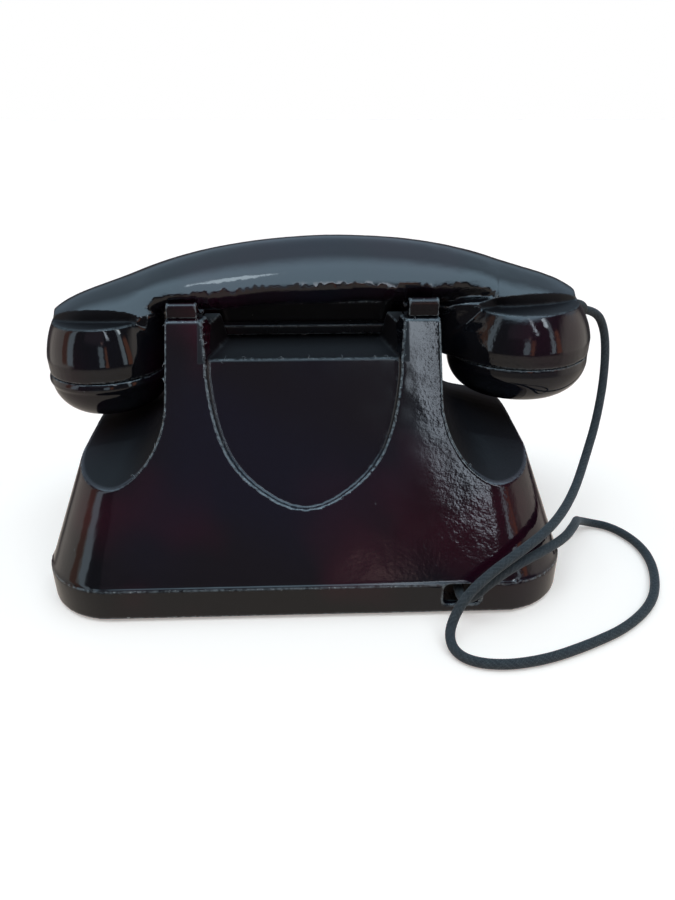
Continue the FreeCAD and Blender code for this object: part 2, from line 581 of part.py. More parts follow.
# Lever: a hub on the pin and a flat arm that reaches under the bar's centre post.
lever = cut("hook_lever_cut", fuse("hook_lever_fuse", [
    cylinder("lever_hub", 3.2, 19.2, (-9.6, -11.0, 66.0), (1, 0, 0)),
    box("lever_arm", (8.0, 18.0, 1.6), (-4.0, -9.5, 66.2))]),
    cylinder("lever_bore", 1.55, 24.0, (-12.0, -11.0, 66.0), (1, 0, 0)))
node(lever, "hook_lever")
bar = new_body("cradle_bar_body")
sk = new_sketch(bar, "cradle_bar_section", "XY_Plane", (0, 0, b0))
rounded(sk, -54.2, 54.2, y0, y1, 1.2)
pad(bar, "cradle_bar_pad", sk, "dims.bar_high_z - dims.bar_low_z")
for tag, sx in (("left", -1), ("right", 1)):
    st = new_sketch(bar, "cradle_stem_" + tag, "XY_Plane", (0, 0, dim("stem_low_z")))
    circle(st, dim("stem_radius"), (sx * sx0, 4.5))
    pad(bar, "cradle_stem_pad_" + tag, st, "dims.bar_low_z - dims.stem_low_z + 0.5")
    co = new_sketch(bar, "cradle_collar_" + tag, "XY_Plane", (0, 0, 72.0))
    circle(co, 4.5, (sx * sx0, 4.5))
    pad(bar, "cradle_collar_pad_" + tag, co, 2.0)
doc.recompute()
node(bar, "cradle_bar")
node(cylinder("plunger_rod", 1.8, 26.9, (0, 5.0, 68.1)), "cradle_plunger")
spring_list = []
for i, sx in enumerate((-1, 1)):
    helix = Part.makeHelix(2.4, 11.0, 3.4)
    wire_r = 0.45
    ring = Part.Wire([Part.Circle(Vector(3.4, 0, 0), Vector(0, 1, 0), wire_r).toShape()])
    coil_shape = Part.Wire(helix.Edges).makePipeShell([ring], True, True)
    o = doc.addObject("Part::Feature", "cradle_spring_%d" % i)
    o.Shape = coil_shape
    o.Placement = Placement(Vector(sx * sx0, 4.5, 60.5), Rotation())
    spring_list.append(o)
node(group("cradle_spring_group", spring_list), "cradle_springs")

cy = -3.5
R = dim("saddle_radius")


def on_arc(y):
    return cz_ - math.sqrt(R * R - (y - cy) ** 2)


# The right saddle stands a little higher: the handset lies one degree off level.
for tag, sx, rise in (("left", -1, 0.0), ("right", 1, 2.2)):
    cz_ = 125.2 + rise
    b = new_body("cradle_saddle_%s_body" % tag)
    xi, xo = dim("saddle_inner_x"), dim("saddle_outer_x")
    sk = new_sketch(b, "saddle_side_" + tag, "YZ_Plane", (0, 0, xi if sx > 0 else -xo))
    lowz, hz = dim("saddle_low_z"), dim("horn_z") + 0.5 * rise
    yb, yf = -21.6, 13.4
    ya, yc = -17.3, 10.2
    outline(sk, (-15.7, lowz), [
        (5.7, lowz), (5.7, 109.9), (yf, 109.9), (yf, hz - 1.6), ((yf - 0.5, hz - 0.5), (yf - 1.4, hz - 0.3)),
        (yc + 0.3, on_arc(yc)), ((cy, cz_ - R), (ya, on_arc(ya))),
        (ya - 0.6, hz - 0.6), ((ya - 2.2, hz), (yb + 2.0, hz)), ((yb + 0.5, hz - 0.6), (yb, hz - 2.2)),
        (yb, 109.9), (-15.7, 109.9), (-15.7, lowz)])
    pad(b, "saddle_pad_" + tag, sk, "dims.saddle_outer_x - dims.saddle_inner_x")
    st = new_sketch(b, "saddle_stem_" + tag, "XY_Plane", (0, 0, b1))
    rounded(st, *(sorted((sx * 46.8, sx * 54.0))), y0 + 0.3, y1 - 2.6, 0.8)
    pad(b, "saddle_stem_pad_" + tag, st, lowz - b1 + 0.5)
    node(b, "cradle_saddle_" + tag)

# ---- handset ---------------------------------------------------------------
HAND = Placement(Vector(dim("handset_x"), dim("handset_y"), 110.0), Rotation())
HAND = HAND.multiply(Placement(Vector(), Rotation(Vector(0, 0, 1), dim("handset_yaw"))))
HAND = HAND.multiply(Placement(Vector(), Rotation(Vector(0, 1, 0), -dim("handset_tilt"))))
HAND = HAND.multiply(Placement(Vector(0, 0, -110.0), Rotation()))

zs_, seam = dim("shoulder_z"), dim("seam_z")
# (name, side, distance from the middle, radius of the cup, radius of its shoulder,
# position and half length of the throat that joins it to the handle)
CUPS = [("left", -1, dim("ear_x"), dim("ear_radius"), dim("ear_shoulder"), 78.0, 10.0),
        ("right", 1, dim("mouth_x"), dim("mouth_radius"), dim("mouth_shoulder"), 69.0, 14.0)]
handle = new_body("handset_handle_body")
for tag, sx, cup, cr, sh, tx, tr in CUPS:
    nr = cr - dim("neck_wall")
    sk = new_sketch(handle, "cup_section_" + tag, "XZ_Plane", (sx * cup, 0, 0))
    outline(sk, (0, zs_), [(sh, zs_), ((sh + 0.62 * (cr - sh), zs_ - 7.0), (cr, 94.0)), (cr - 0.2, seam), (nr, seam), (nr, seam - 5.8), (0, seam - 5.8), (0, zs_)])
    revolve(handle, "cup_" + tag, sk)
    low = 90.0 if sx < 0 else seam
    sk = new_sketch(handle, "throat_section_" + tag, "XY_Plane", (0, 0, low))
    sk.addGeometry(Part.Ellipse(Vector(sx * tx, 12.8, 0), Vector(sx * (tx + tr), 0, 0), Vector(sx * tx, 0, 0)) if tr < 12.8 else
                   Part.Ellipse(Vector(sx * (tx + tr), 0, 0), Vector(sx * tx, 12.8, 0), Vector(sx * tx, 0, 0)), False)
    pad(handle, "throat_" + tag, sk, 113.0 - low)
# (position along, height of the top, height of the underside, half width)
STATIONS = [(-115.6, 113.2, 101.0, 3.6), (-109.0, 117.2, 100.0, 7.2), (-97.0, 121.8, 100.0, 10.4), (-80.0, 127.2, 102.0, 12.2),
            (-66.0, 131.8, 110.9, 12.7), (-54.0, 134.8, 110.8, 13.0), (-30.0, 138.6, 111.1, 13.2), (0.0, 140.3, 111.2, 13.3), (30.0, 138.6, 111.1, 13.2),
            (54.0, 134.8, 110.8, 13.0), (66.0, 131.8, 110.9, 12.7), (80.0, 127.2, 102.0, 12.2), (97.0, 121.8, 100.0, 10.4), (108.6, 117.2, 100.0, 7.2),
            (115.2, 113.2, 101.0, 3.6)]
sections = []
for i, (x, zt, zb, hw) in enumerate(STATIONS):
    sk = new_sketch(handle, "handle_section_%d" % i, "YZ_Plane", (0, 0, x))
    zc, hz_ = (zt + zb) / 2, (zt - zb) / 2
    if hz_ >= hw:
        e = Part.Ellipse(Vector(0, zc + hz_, 0), Vector(hw, zc, 0), Vector(0, zc, 0))
    else:
        e = Part.Ellipse(Vector(hw, zc, 0), Vector(0, zc + hz_, 0), Vector(0, zc, 0))
    sk.addGeometry(e, False)
    sections.append(sk)
loft = handle.newObject("PartDesign::AdditiveLoft", "handle_loft")
loft.Profile = sections[0]
loft.Sections = sections[1:]
doc.recompute()
for tag, sx, cup, cr, sh, tx, tr in CUPS:
    sk = new_sketch(handle, "cup_bore_" + tag, "XY_Plane", (0, 0, seam - 5.8))
    circle(sk, cr - dim("bore_wall"), (sx * cup, 0))
    pocket(handle, "cup_bore_cut_" + tag, sk, dim("bore_top_z") - seam + 5.8, Reversed=True)
handle.Placement = HAND
node(handle, "handset_handle")

zl = dim("cap_low_z")
ear_holes = [(0, 0, 1.4)] + [(7.0 * math.cos(math.radians(a)), 7.0 * math.sin(math.radians(a)), 1.4) for a in range(0, 360, 60)]
mouth_holes = [(0, 0, 1.2)] + [(6.0 * math.cos(math.radians(a)), 6.0 * math.sin(math.radians(a)), 1.2) for a in range(0, 360, 60)] + \
    [(12.0 * math.cos(math.radians(a)), 12.0 * math.sin(math.radians(a)), 1.2) for a in range(0, 360, 30)]
for label, (tag, sx, cup, cr, sh, tx, tr), holes, bead in (("earpiece_cap", CUPS[0], ear_holes, True), ("mouthpiece_cap", CUPS[1], mouth_holes, False)):
    ci = cr - dim("neck_wall") + 0.1
    rim = [(cr + 0.1, seam - 1.0), ((cr + 0.5, seam - 2.7), (cr - 0.3, seam - 4.6))] if bead else [(cr - 0.2, seam - 4.2)]
    steps = rim + [((cr - 2.6, zl + 6.1), (cr - 8.0, zl + 0.8)), (cr - 10.4, zl), (0, zl), (0, zl + 2.6), (cr - 11.6, zl + 2.6),
                   ((cr - 5.6, zl + 5.4), (ci, zl + 10.0)), (ci, seam - 0.1), (cr - 0.3, seam - 0.1)]
    b = turned(label + "_body", (cr - 0.3, seam - 0.1), steps, holes={"z": zl + 4.0, "deep": 6.0, "at": holes})
    b.Placement = HAND.multiply(Placement(Vector(sx * cup, 0, 0), Rotation()))
    node(b, label)
for label, (tag, sx, cup, cr, sh, tx, tr) in (("receiver_capsule", CUPS[0]), ("transmitter_capsule", CUPS[1])):
    kr = cr - dim("capsule_wall")
    b = turned(label + "_body", (0, 79.4), [(kr - 6.0, 79.4), (kr, 82.6), (kr, 89.5), (14.0, 91.5), (14.0, 94.5), (0, 94.5), (0, 79.4)])
    b.Placement = HAND.multiply(Placement(Vector(sx * cup, 0, 0), Rotation()))
    node(b, label)
contacts = []
for i, (side, dy) in enumerate(((0, -6), (0, 6), (1, -6), (1, 6))):
    c = box("capsule_contact_%d" % i, (9.0, 4.0, 0.6), (CUPS[side][1] * CUPS[side][2] - 4.5, dy - 2.0, 95.6))
    contacts.append(c)
contact_group = group("capsule_contact_group", contacts)
contact_group.Placement = HAND
node(contact_group, "capsule_contacts")
# Cord bushing, pointing out and a little down from the mouthpiece cup.
BUSH = HAND.multiply(Placement(Vector(dim("bushing_x") + 22.5 * math.cos(math.radians(15)), 22.5 * math.sin(math.radians(15)), 103.0),
                               Rotation(Vector(0, 0, 1), Vector(math.cos(math.radians(15)), math.sin(math.radians(15)), -0.25))))
bush = turned("handset_bushing_body", (0, 0), [(4.2, 0), (4.0, 4.0), ((3.4, 6.4), (2.6, 7.6)), (0, 7.6), (0, 0)], placement=BUSH)
handset_bush = cut("handset_bushing_cut", bush, doc.getObject("handset_handle_body"))

node(handset_bush, "handset_bushing")

# ---- handset cord ----------------------------------------------------------
# Straight runs joined by tangent arcs, from the bushing's tip, down over the
# housing's corner, round the loop on the table and back up into the slot.
tip = BUSH.multVec(Vector(0, 0, 7.6))
out_dir = BUSH.Rotation.multVec(Vector(0, 0, 1))
ROUTE = [tip, tip + out_dir * 7.5] + [Vector(*p) for p in (
    (143.6, 12.6, 94.6), (145.9, 10.6, 83.5), (144.8, 4.0, 68.0), (139.6, -7.5, 53.0),
    (131.0, -22.5, 42.0), (121.0, -41.0, 36.5), (110.0, -58.5, 35.0), (98.5, -73.0, 34.5),
    (85.0, -82.5, 31.0), (72.5, -88.0, 25.0), (63.0, -92.0, 17.5), (57.6, -95.6, 9.6),
    (55.2, -100.6, 4.4), (56.8, -107.2, 2.1), (63.5, -112.6, 2.05), (76.0, -114.2, 2.05),
    (92.0, -111.4, 2.05), (110.0, -104.4, 2.05), (130.0, -94.5, 2.05), (147.5, -78.5, 2.05),
    (157.0, -57.0, 2.05), (158.6, -38.0, 2.05), (151.0, -22.5, 2.05), (140.0, -18.5, 2.6),
    (131.5, -25.0, 8.0), (125.8, -37.0, 16.0), (118.8, -51.5, 23.0), (108.8, -67.0, 26.6),
    (96.0, -77.0, 27.0), (83.5, -82.6, 24.2), (73.0, -85.8, 18.2), (66.6, -87.2, 12.2),
    (63.3, -83.6, 9.3), (63.0, -77.5, 9.2), (63.0, -72.0, 9.2))]


def cord_path(points):
    """Runs and arcs: each arc's radius is 0.45 of the shorter run over tan(half the turn)."""
    edges, radii, here, length = [], [], points[0], 0.0
    for a, b, c in zip(points, points[1:], points[2:]):
        u, v = (b - a), (c - b)
        shorter = min(u.Length, v.Length)
        u, v = u.normalize(), v.normalize()
        turn = u.getAngle(v)
        back = 0.45 * shorter
        radius = back / math.tan(turn / 2)
        radii.append(radius)
        start, end = b - u * back, b + v * back
        inward = (v - u).normalize()
        centre = b + inward * (radius / math.cos(turn / 2))
        mid = centre - inward * radius
        edges.append(Part.LineSegment(here, start).toShape())
        edges.append(Part.Arc(start, mid, end).toShape())
        length += (start - here).Length + radius * turn
        here = end
    edges.append(Part.LineSegment(here, points[-1]).toShape())
    length += (points[-1] - here).Length
    return Part.Wire(edges), radii, length


cord_wire, cord_radii, cord_length = cord_path(ROUTE)
rr = dim("cord_radius")
first_dir = (ROUTE[1] - ROUTE[0]).normalize()
profile = Part.Wire([Part.Circle(ROUTE[0], first_dir, rr).toShape()])
cord = doc.addObject("Part::Feature", "handset_cord_tube")
cord.Shape = cord_wire.makePipeShell([profile], True, False, 0)
node(cord, "handset_cord")
print("cord length %.1f, volume ratio %.4f" % (cord_length, cord.Shape.Volume / (math.pi * rr * rr * cord_length)))
print("cord radii", [round(r, 1) for r in cord_radii])
print("cord start", [round(v, 3) for v in ROUTE[0]], [round(v, 3) for v in ROUTE[1]])

# ---- finish ----------------------------------------------------------------
doc.recompute()

bad = [o.Name for o in doc.Objects if "Invalid" in o.State or "Error" in o.State]
if bad:
    raise RuntimeError("failed objects: %s" % bad)
os.makedirs("parts", exist_ok=True)
for o in NODES:
    s = o.Shape
    if s.isNull() or not s.isValid():
        raise RuntimeError("bad shape: " + o.Label)
    s.exportStep("parts/%s.step" % o.Label)
    bb = s.BoundBox
    print("%-24s solids %d vol %10.1f  x %.1f..%.1f y %.1f..%.1f z %.1f..%.1f" % (
        o.Label, len(s.Solids), s.Volume, bb.XMin, bb.XMax, bb.YMin, bb.YMax, bb.ZMin, bb.ZMax))
print("dial centre", tuple(round(v, 4) for v in dial_centre), "axis", tuple(round(v, 5) for v in dial_axis))
g = GOV.Base
print("governor centre", tuple(round(v, 4) for v in g))
print("bushing tip", tuple(round(v, 3) for v in BUSH.multVec(Vector(0, 0, 7.6))), "direction", tuple(round(v, 4) for v in BUSH.Rotation.multVec(Vector(0, 0, 1))))
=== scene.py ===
import json
import math

import bpy
import bmesh
import numpy as np
from mathutils import Matrix, Vector


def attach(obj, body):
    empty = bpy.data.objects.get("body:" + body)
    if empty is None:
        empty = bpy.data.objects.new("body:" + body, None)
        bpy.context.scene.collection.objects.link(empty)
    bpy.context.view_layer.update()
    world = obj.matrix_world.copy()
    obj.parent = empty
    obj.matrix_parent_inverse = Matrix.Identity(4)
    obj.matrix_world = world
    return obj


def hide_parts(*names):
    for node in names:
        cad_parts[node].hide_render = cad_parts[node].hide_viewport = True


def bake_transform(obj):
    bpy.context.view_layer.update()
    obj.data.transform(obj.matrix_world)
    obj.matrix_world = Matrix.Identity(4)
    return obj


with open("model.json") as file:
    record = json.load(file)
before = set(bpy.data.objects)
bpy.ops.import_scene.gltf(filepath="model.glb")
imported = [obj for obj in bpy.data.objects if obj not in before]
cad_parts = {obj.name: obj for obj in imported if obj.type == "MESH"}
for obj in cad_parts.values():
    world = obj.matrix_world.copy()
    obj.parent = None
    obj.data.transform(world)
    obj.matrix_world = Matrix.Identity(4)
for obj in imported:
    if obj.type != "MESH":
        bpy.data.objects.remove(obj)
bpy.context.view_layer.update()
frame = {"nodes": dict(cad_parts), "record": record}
NODES = frame["nodes"]
SCENE = bpy.context.scene

# ---------------------------------------------------------------------------
# camera
# ---------------------------------------------------------------------------
cam_data = bpy.data.cameras.new("camera")
cam_data.lens = 28.0
cam_data.sensor_width = 36.0
cam_data.clip_start, cam_data.clip_end = 0.01, 30.0
cam = bpy.data.objects.new("camera", cam_data)
SCENE.collection.objects.link(cam)
cam.location = (0.0043, -0.310, 0.194)
look = Vector((math.sin(math.radians(2.0)) * math.cos(math.radians(27.0)),
               math.cos(math.radians(2.0)) * math.cos(math.radians(27.0)),
               -math.sin(math.radians(27.0))))
cam.rotation_mode = "QUATERNION"
cam.rotation_quaternion = look.to_track_quat("-Z", "Y")
SCENE.camera = cam


# ---------------------------------------------------------------------------
# small tools
# ---------------------------------------------------------------------------
def vnoise(p, scale, seed):
    """Smooth value noise from 0 to 1 at points p (metres), scale in cells per metre."""
    q = p * scale + seed * 7.137
    i = np.floor(q).astype(np.int64)
    f = q - i
    f = f * f * (3 - 2 * f)

    def h(dx, dy, dz):
        n = (i[:, 0] + dx) * 73856093 ^ (i[:, 1] + dy) * 19349663 ^ (i[:, 2] + dz) * 83492791 ^ (seed * 7919 + 13)
        n = (n ^ (n >> 13)) & 0x7FFFFFFF
        n = (n * 60493 + 19990303) & 0x7FFFFFFF
        n = (n ^ (n >> 11)) & 0xFFFFF
        return n / float(0xFFFFF)
    out = 0.0
    for dx in (0, 1):
        wx = f[:, 0] if dx else 1 - f[:, 0]
        for dy in (0, 1):
            wy = f[:, 1] if dy else 1 - f[:, 1]
            for dz in (0, 1):
                wz = f[:, 2] if dz else 1 - f[:, 2]
                out = out + wx * wy * wz * h(dx, dy, dz)
    return out


def step(x, a, b):
    t = np.clip((x - a) / (b - a), 0, 1)
    return t * t * (3 - 2 * t)


def link(name, mesh):
    o = bpy.data.objects.new(name, mesh)
    SCENE.collection.objects.link(o)
    return o


def mesh_from(name, verts, faces):
    me = bpy.data.meshes.new(name)
    me.from_pydata([tuple(v) for v in verts], [], [tuple(int(i) for i in f) for f in faces])
    me.update()
    me.shade_smooth()
    return me


def coords(me):
    co = np.empty(len(me.vertices) * 3)
    me.vertices.foreach_get("co", co)
    return co.reshape(-1, 3)


def put(me, co):
    me.vertices.foreach_set("co", co.astype(np.float32).ravel())
    me.update()


def normals(me):
    n = np.empty(len(me.vertices) * 3)
    me.vertices.foreach_get("normal", n)
    return n.reshape(-1, 3)


def edges(me):
    e = np.empty(len(me.edges) * 2, np.int64)
    me.edges.foreach_get("vertices", e)
    return e.reshape(-1, 2)


def relax(co, e, rounds, amount=0.5, mask=None):
    """Each vertex moves towards the middle of its neighbours."""
    n = len(co)
    count = np.maximum(np.bincount(e.ravel(), minlength=n), 1)[:, None]
    w = amount if mask is None else amount * mask[:, None]
    for _ in range(rounds):
        total = np.stack([np.bincount(e[:, 0], co[e[:, 1], k], n) + np.bincount(e[:, 1], co[e[:, 0], k], n)
                          for k in range(3)], 1)
        co = co + w * (total / count - co)
    return co


def spread(value, e, rounds):
    n = len(value)
    count = np.maximum(np.bincount(e.ravel(), minlength=n), 1)
    for _ in range(rounds):
        total = np.bincount(e[:, 0], value[e[:, 1]], n) + np.bincount(e[:, 1], value[e[:, 0]], n)
        value = 0.5 * value + 0.5 * total / count
    return value


def attribute(me, name, value):
    a = me.attributes.get(name) or me.attributes.new(name, "FLOAT", "POINT")
    a.data.foreach_set("value", np.asarray(value, np.float32))


def skin(name, node, voxel, rounds, body, shape=None, wear_and_glint=1.0, extra=None):
    """A piece with softened edges, made from a CAD node's own surface: remeshed, eased, and measured at its edges and
    creases, where the paint draws wear and a painted highlight.
    """
    src = NODES[node].data.copy()
    o = link(name, src)
    o.data.materials.clear()
    m = o.modifiers.new("remesh", "REMESH")
    m.mode = "VOXEL"
    m.voxel_size = voxel
    m.use_smooth_shade = True
    dg = bpy.context.evaluated_depsgraph_get()
    me = bpy.data.meshes.new_from_object(o.evaluated_get(dg))
    o.modifiers.clear()
    o.data = me
    me.name = name
    e = edges(me)
    base = relax(coords(me), e, 1, 0.5)
    co = relax(base, e, rounds, 0.5)
    if shape is not None:
        co = shape(co, e, me)
    put(me, co)
    me.shade_smooth()
    nn = normals(me)
    far = relax(co, e, 8, 0.5)
    bulge = ((co - far) * nn).sum(1)          # above 0 on a ridge, below 0 in a crease
    attribute(me, "edge", np.clip(spread(bulge, e, 1) / (voxel * 0.26), 0, 1) * wear_and_glint)
    attribute(me, "crease", np.clip(-spread(bulge, e, 2) / (voxel * 0.17), 0, 1))
    for key, fn in (extra or {}).items():
        attribute(me, key, fn(co, nn))
    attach(o, body)
    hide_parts(node)
    return o


# ---------------------------------------------------------------------------
# materials
# ---------------------------------------------------------------------------
class Mat:
    """A node material written as calls."""

    def __init__(self, name):
        self.m = bpy.data.materials.new(name)
        self.m.use_nodes = True
        self.t = self.m.node_tree
        self.t.nodes.clear()
        self.out = self.t.nodes.new("ShaderNodeOutputMaterial")
        self.b = self.t.nodes.new("ShaderNodeBsdfPrincipled")
        self.t.links.new(self.b.outputs[0], self.out.inputs[0])
        self.obj = self.t.nodes.new("ShaderNodeTexCoord").outputs["Object"]

    def node(self, kind, **props):
        n = self.t.nodes.new("ShaderNode" + kind)
        for k, v in props.items():
            setattr(n, k, v)
        return n

    def set(self, socket, value):
        if isinstance(value, bpy.types.NodeSocket):
            self.t.links.new(value, socket)
        elif isinstance(value, (tuple, list)) and len(value) == 3 and socket.type == "RGBA":
            socket.default_value = (*value, 1.0)
        else:
            socket.default_value = value

    def bsdf(self, **values):
        names = {"color": "Base Color", "rough": "Roughness", "metal": "Metallic", "ior": "IOR", "coat": "Coat Weight",
                 "coat_rough": "Coat Roughness", "normal": "Normal", "sheen": "Sheen Weight", "sheen_rough": "Sheen Roughness",
                 "spec": "Specular IOR Level", "aniso": "Anisotropic"}
        for k, v in values.items():
            self.set(self.b.inputs[names[k]], v)
        return self.m

    def attr(self, name):
        return self.node("Attribute", attribute_name=name).outputs["Fac"]

    def noise(self, scale, detail=3.0, rough=0.5, vector=None, distortion=0.0):
        n = self.node("TexNoise")
        self.set(n.inputs["Vector"], vector or self.obj)
        n.inputs["Scale"].default_value = scale
        n.inputs["Detail"].default_value = detail
        n.inputs["Roughness"].default_value = rough
        n.inputs["Distortion"].default_value = distortion
        return n.outputs["Fac"]

    def voronoi(self, scale, feature="F1", out="Distance", vector=None, randomness=1.0):
        n = self.node("TexVoronoi", feature=feature)
        self.set(n.inputs["Vector"], vector or self.obj)
        n.inputs["Scale"].default_value = scale
        n.inputs["Randomness"].default_value = randomness
        return n.outputs[out]

    def stretch(self, x, y, z, rotation=(0, 0, 0)):
        n = self.node("Mapping")
        self.set(n.inputs["Vector"], self.obj)
        n.inputs["Scale"].default_value = (x, y, z)
        n.inputs["Rotation"].default_value = rotation
        return n.outputs[0]

    def math(self, op, a, b=0.0, c=0.0, clamp=False):
        n = self.node("Math", operation=op, use_clamp=clamp)
        self.set(n.inputs[0], a)
        self.set(n.inputs[1], b)
        self.set(n.inputs[2], c)
        return n.outputs[0]

    def ramp(self, fac, low, high, a=0.0, b=1.0):
        n = self.node("MapRange", clamp=True)
        n.interpolation_type = "SMOOTHSTEP"
        self.set(n.inputs["Value"], fac)
        n.inputs["From Min"].default_value = low
        n.inputs["From Max"].default_value = high
        n.inputs["To Min"].default_value = a
        n.inputs["To Max"].default_value = b
        return n.outputs[0]

    def mix(self, fac, a, b):
        n = self.node("Mix", data_type="RGBA")
        self.set(n.inputs[0], fac)
        self.set(n.inputs[6], a)
        self.set(n.inputs[7], b)
        return n.outputs[2]

    def mixf(self, fac, a, b):
        n = self.node("Mix", data_type="FLOAT")
        self.set(n.inputs[0], fac)
        self.set(n.inputs[2], a)
        self.set(n.inputs[3], b)
        return n.outputs[0]

    def bump(self, height, distance, strength=1.0, normal=None):
        n = self.node("Bump")
        n.inputs["Distance"].default_value = distance
        self.set(n.inputs["Strength"], strength)
        self.set(n.inputs["Height"], height)
        if normal is not None:
            self.set(n.inputs["Normal"], normal)
        return n.outputs[0]


def black_paint(name, rough=0.07, peel=0.5, tint=1.0, worn_and_glint=1.0, dusty=1.0):
    """Thick glossy black enamel over moulded bakelite."""
    k = Mat(name)
    big = k.noise(17.0, 2.0, 0.5)
    big2 = k.noise(11.0, 1.0, 0.5, vector=k.stretch(1, 1, 0.7, (0.3, 0.2, 0.9)))
    colour = k.mix(k.ramp(big, 0.46, 0.66), (0.0030, 0.0030, 0.0042), (0.0030 + 0.0150 * tint, 0.0022, 0.0055))
    colour = k.mix(k.ramp(big2, 0.48, 0.66, 0.0, 0.8), colour, (0.0026, 0.0036, 0.0088))
    matte = k.attr("matte")
    colour = k.mix(k.math("MULTIPLY", matte, 0.85), colour, (0.0050, 0.0042, 0.0050))
    # bright, broken wear on the ridges, partly real rubbed paint and partly a painted highlight along the edges that
    # catch the light
    edge = k.attr("edge")
    broken = k.noise(520.0, 4.0, 0.7)
    wear_and_glint = k.math("MULTIPLY", k.ramp(edge, 0.45, 0.95), k.ramp(broken, 0.36, 0.60))
    wear_and_glint = k.math("MULTIPLY", wear_and_glint, worn_and_glint)
    colour = k.mix(k.math("MULTIPLY", wear_and_glint, 0.75), colour, (0.140, 0.155, 0.160))
    # flash and grit that stands pale on the sharpest ridges
    grit = k.math("MULTIPLY", k.ramp(edge, 0.35, 0.7), k.ramp(k.noise(1500.0, 2.0, 0.6), 0.66, 0.72))
    colour = k.mix(k.math("MULTIPLY", grit, 0.8 * worn_and_glint), colour, (0.50, 0.50, 0.48))
    # dust in the creases, specks on the faces
    crease = k.math("MULTIPLY", k.ramp(k.attr("crease"), 0.25, 0.95), k.ramp(k.noise(260.0, 3.0, 0.6), 0.50, 0.72))
    colour = k.mix(k.math("MULTIPLY", crease, 0.25 * dusty), colour, (0.09, 0.088, 0.085))
    cell = k.voronoi(210.0)
    pick = k.node("SeparateColor")
    k.set(pick.inputs[0], k.voronoi(210.0, out="Color"))
    size = k.math("MULTIPLY", k.math("SUBTRACT", pick.outputs[0], 0.84), 0.34)
    speck = k.math("LESS_THAN", cell, size)
    colour = k.mix(k.math("MULTIPLY", speck, 0.40 * dusty), colour, (0.30, 0.30, 0.29))
    haze = k.ramp(k.noise(33.0, 4.0, 0.6), 0.35, 0.75)
    r = k.mixf(haze, rough * 0.8, rough * 1.5)
    r = k.mixf(matte, r, 0.46)
    r = k.mixf(k.math("MULTIPLY", wear_and_glint, 0.8), r, 0.36)
    r = k.mixf(speck, r, 0.8)
    spec = k.mixf(matte, 0.5, 0.16)
    # orange peel: fine dimples on a slow swell
    amount = k.math("MULTIPLY", k.attr("peel"), peel)
    fine = k.noise(700.0, 2.0, 0.55)
    swell = k.noise(120.0, 2.0, 0.5)
    # where the paint was laid on thick it dried as a flat facet that leans back
    lean = k.node("CombineXYZ")
    k.set(lean.inputs[2], k.math("MULTIPLY", k.attr("facet"), 0.85))
    add = k.node("VectorMath", operation="ADD")
    k.set(add.inputs[0], k.node("NewGeometry").outputs["Normal"])
    k.set(add.inputs[1], lean.outputs[0])
    unit = k.node("VectorMath", operation="NORMALIZE")
    k.set(unit.inputs[0], add.outputs[0])
    n = k.bump(fine, 0.00022, k.math("ADD", k.math("MULTIPLY", amount, 0.30), 0.008), unit.outputs[0])
    n = k.bump(swell, 0.0010, k.math("ADD", k.math("MULTIPLY", amount, 0.14), 0.012), n)
    n = k.bump(speck, 0.0001, 0.5, n)
    return k.bsdf(color=colour, rough=r, ior=1.52, spec=spec, normal=n)


def metal(name, colour, rough, grain=(1, 1, 1), tone=0.25, dull=(0.05, 0.045, 0.04), amount=0.25):
    k = Mat(name)
    g = k.noise(900.0, 3.0, 0.6, vector=k.stretch(*grain))
    stain = k.ramp(k.noise(90.0, 4.0, 0.65), 0.5, 0.8, 0.0, amount)
    c = k.mix(k.math("MULTIPLY", g, tone), colour, tuple(v * 0.55 for v in colour))
    c = k.mix(stain, c, dull)
    r = k.math("ADD", k.ramp(g, 0.3, 0.7, rough * 0.7, rough * 1.3), k.math("MULTIPLY", stain, 0.5))
    return k.bsdf(color=c, rough=r, metal=k.math("SUBTRACT", 1.0, k.math("MULTIPLY", stain, 1.2), clamp=True), normal=k.bump(g, 0.00004, 0.4))


def plain(name, colour, other, rough, scale=260.0, bump=0.0001, strength=0.4):
    k = Mat(name)
    g = k.noise(scale, 4.0, 0.6)
    return k.bsdf(color=k.mix(k.ramp(g, 0.35, 0.7), colour, other), rough=k.ramp(g, 0.3, 0.7, rough * 0.85, min(1.0, rough * 1.15)),
                  normal=k.bump(g, bump, strength))


def winding_mat():
    k = Mat("winding")
    v = k.stretch(1, 1, 1)
    w = k.node("TexWave", wave_type="BANDS", bands_direction="X")
    k.set(w.inputs["Vector"], v)
    w.inputs["Scale"].default_value = 900.0
    w.inputs["Distortion"].default_value = 0.4
    g = k.noise(150.0, 3.0)
    c = k.mix(g, (0.20, 0.055, 0.012), (0.10, 0.03, 0.01))
    return k.bsdf(color=c, rough=0.42, normal=k.bump(w.outputs[1], 0.0001, 0.7))


def cord_mat():
    k = Mat("cord_textile")
    yarn, height = k.attr("yarn"), k.attr("height")
    fuzz = k.noise(2600.0, 2.0, 0.7)
    tone = k.ramp(yarn, 0.0, 1.0)
    c = k.mix(tone, (0.027, 0.029, 0.031), (0.046, 0.049, 0.051))
    # painted shade: the colour darkens where the yarns dip low, in the grooves between them
    c = k.mix(k.ramp(height, 0.0, 0.75, 0.8, 0.0), c, (0.006, 0.007, 0.008))
    c = k.mix(k.math("MULTIPLY", k.ramp(fuzz, 0.54, 0.74), 0.55), c, (0.10, 0.115, 0.110))
    c = k.mix(k.ramp(k.noise(60.0, 3.0), 0.45, 0.75, 0.0, 0.35), c, (0.030, 0.034, 0.040))
    return k.bsdf(color=c, rough=0.88, sheen=0.12, sheen_rough=0.5, spec=0.15, normal=k.bump(fuzz, 0.00008, 0.6))


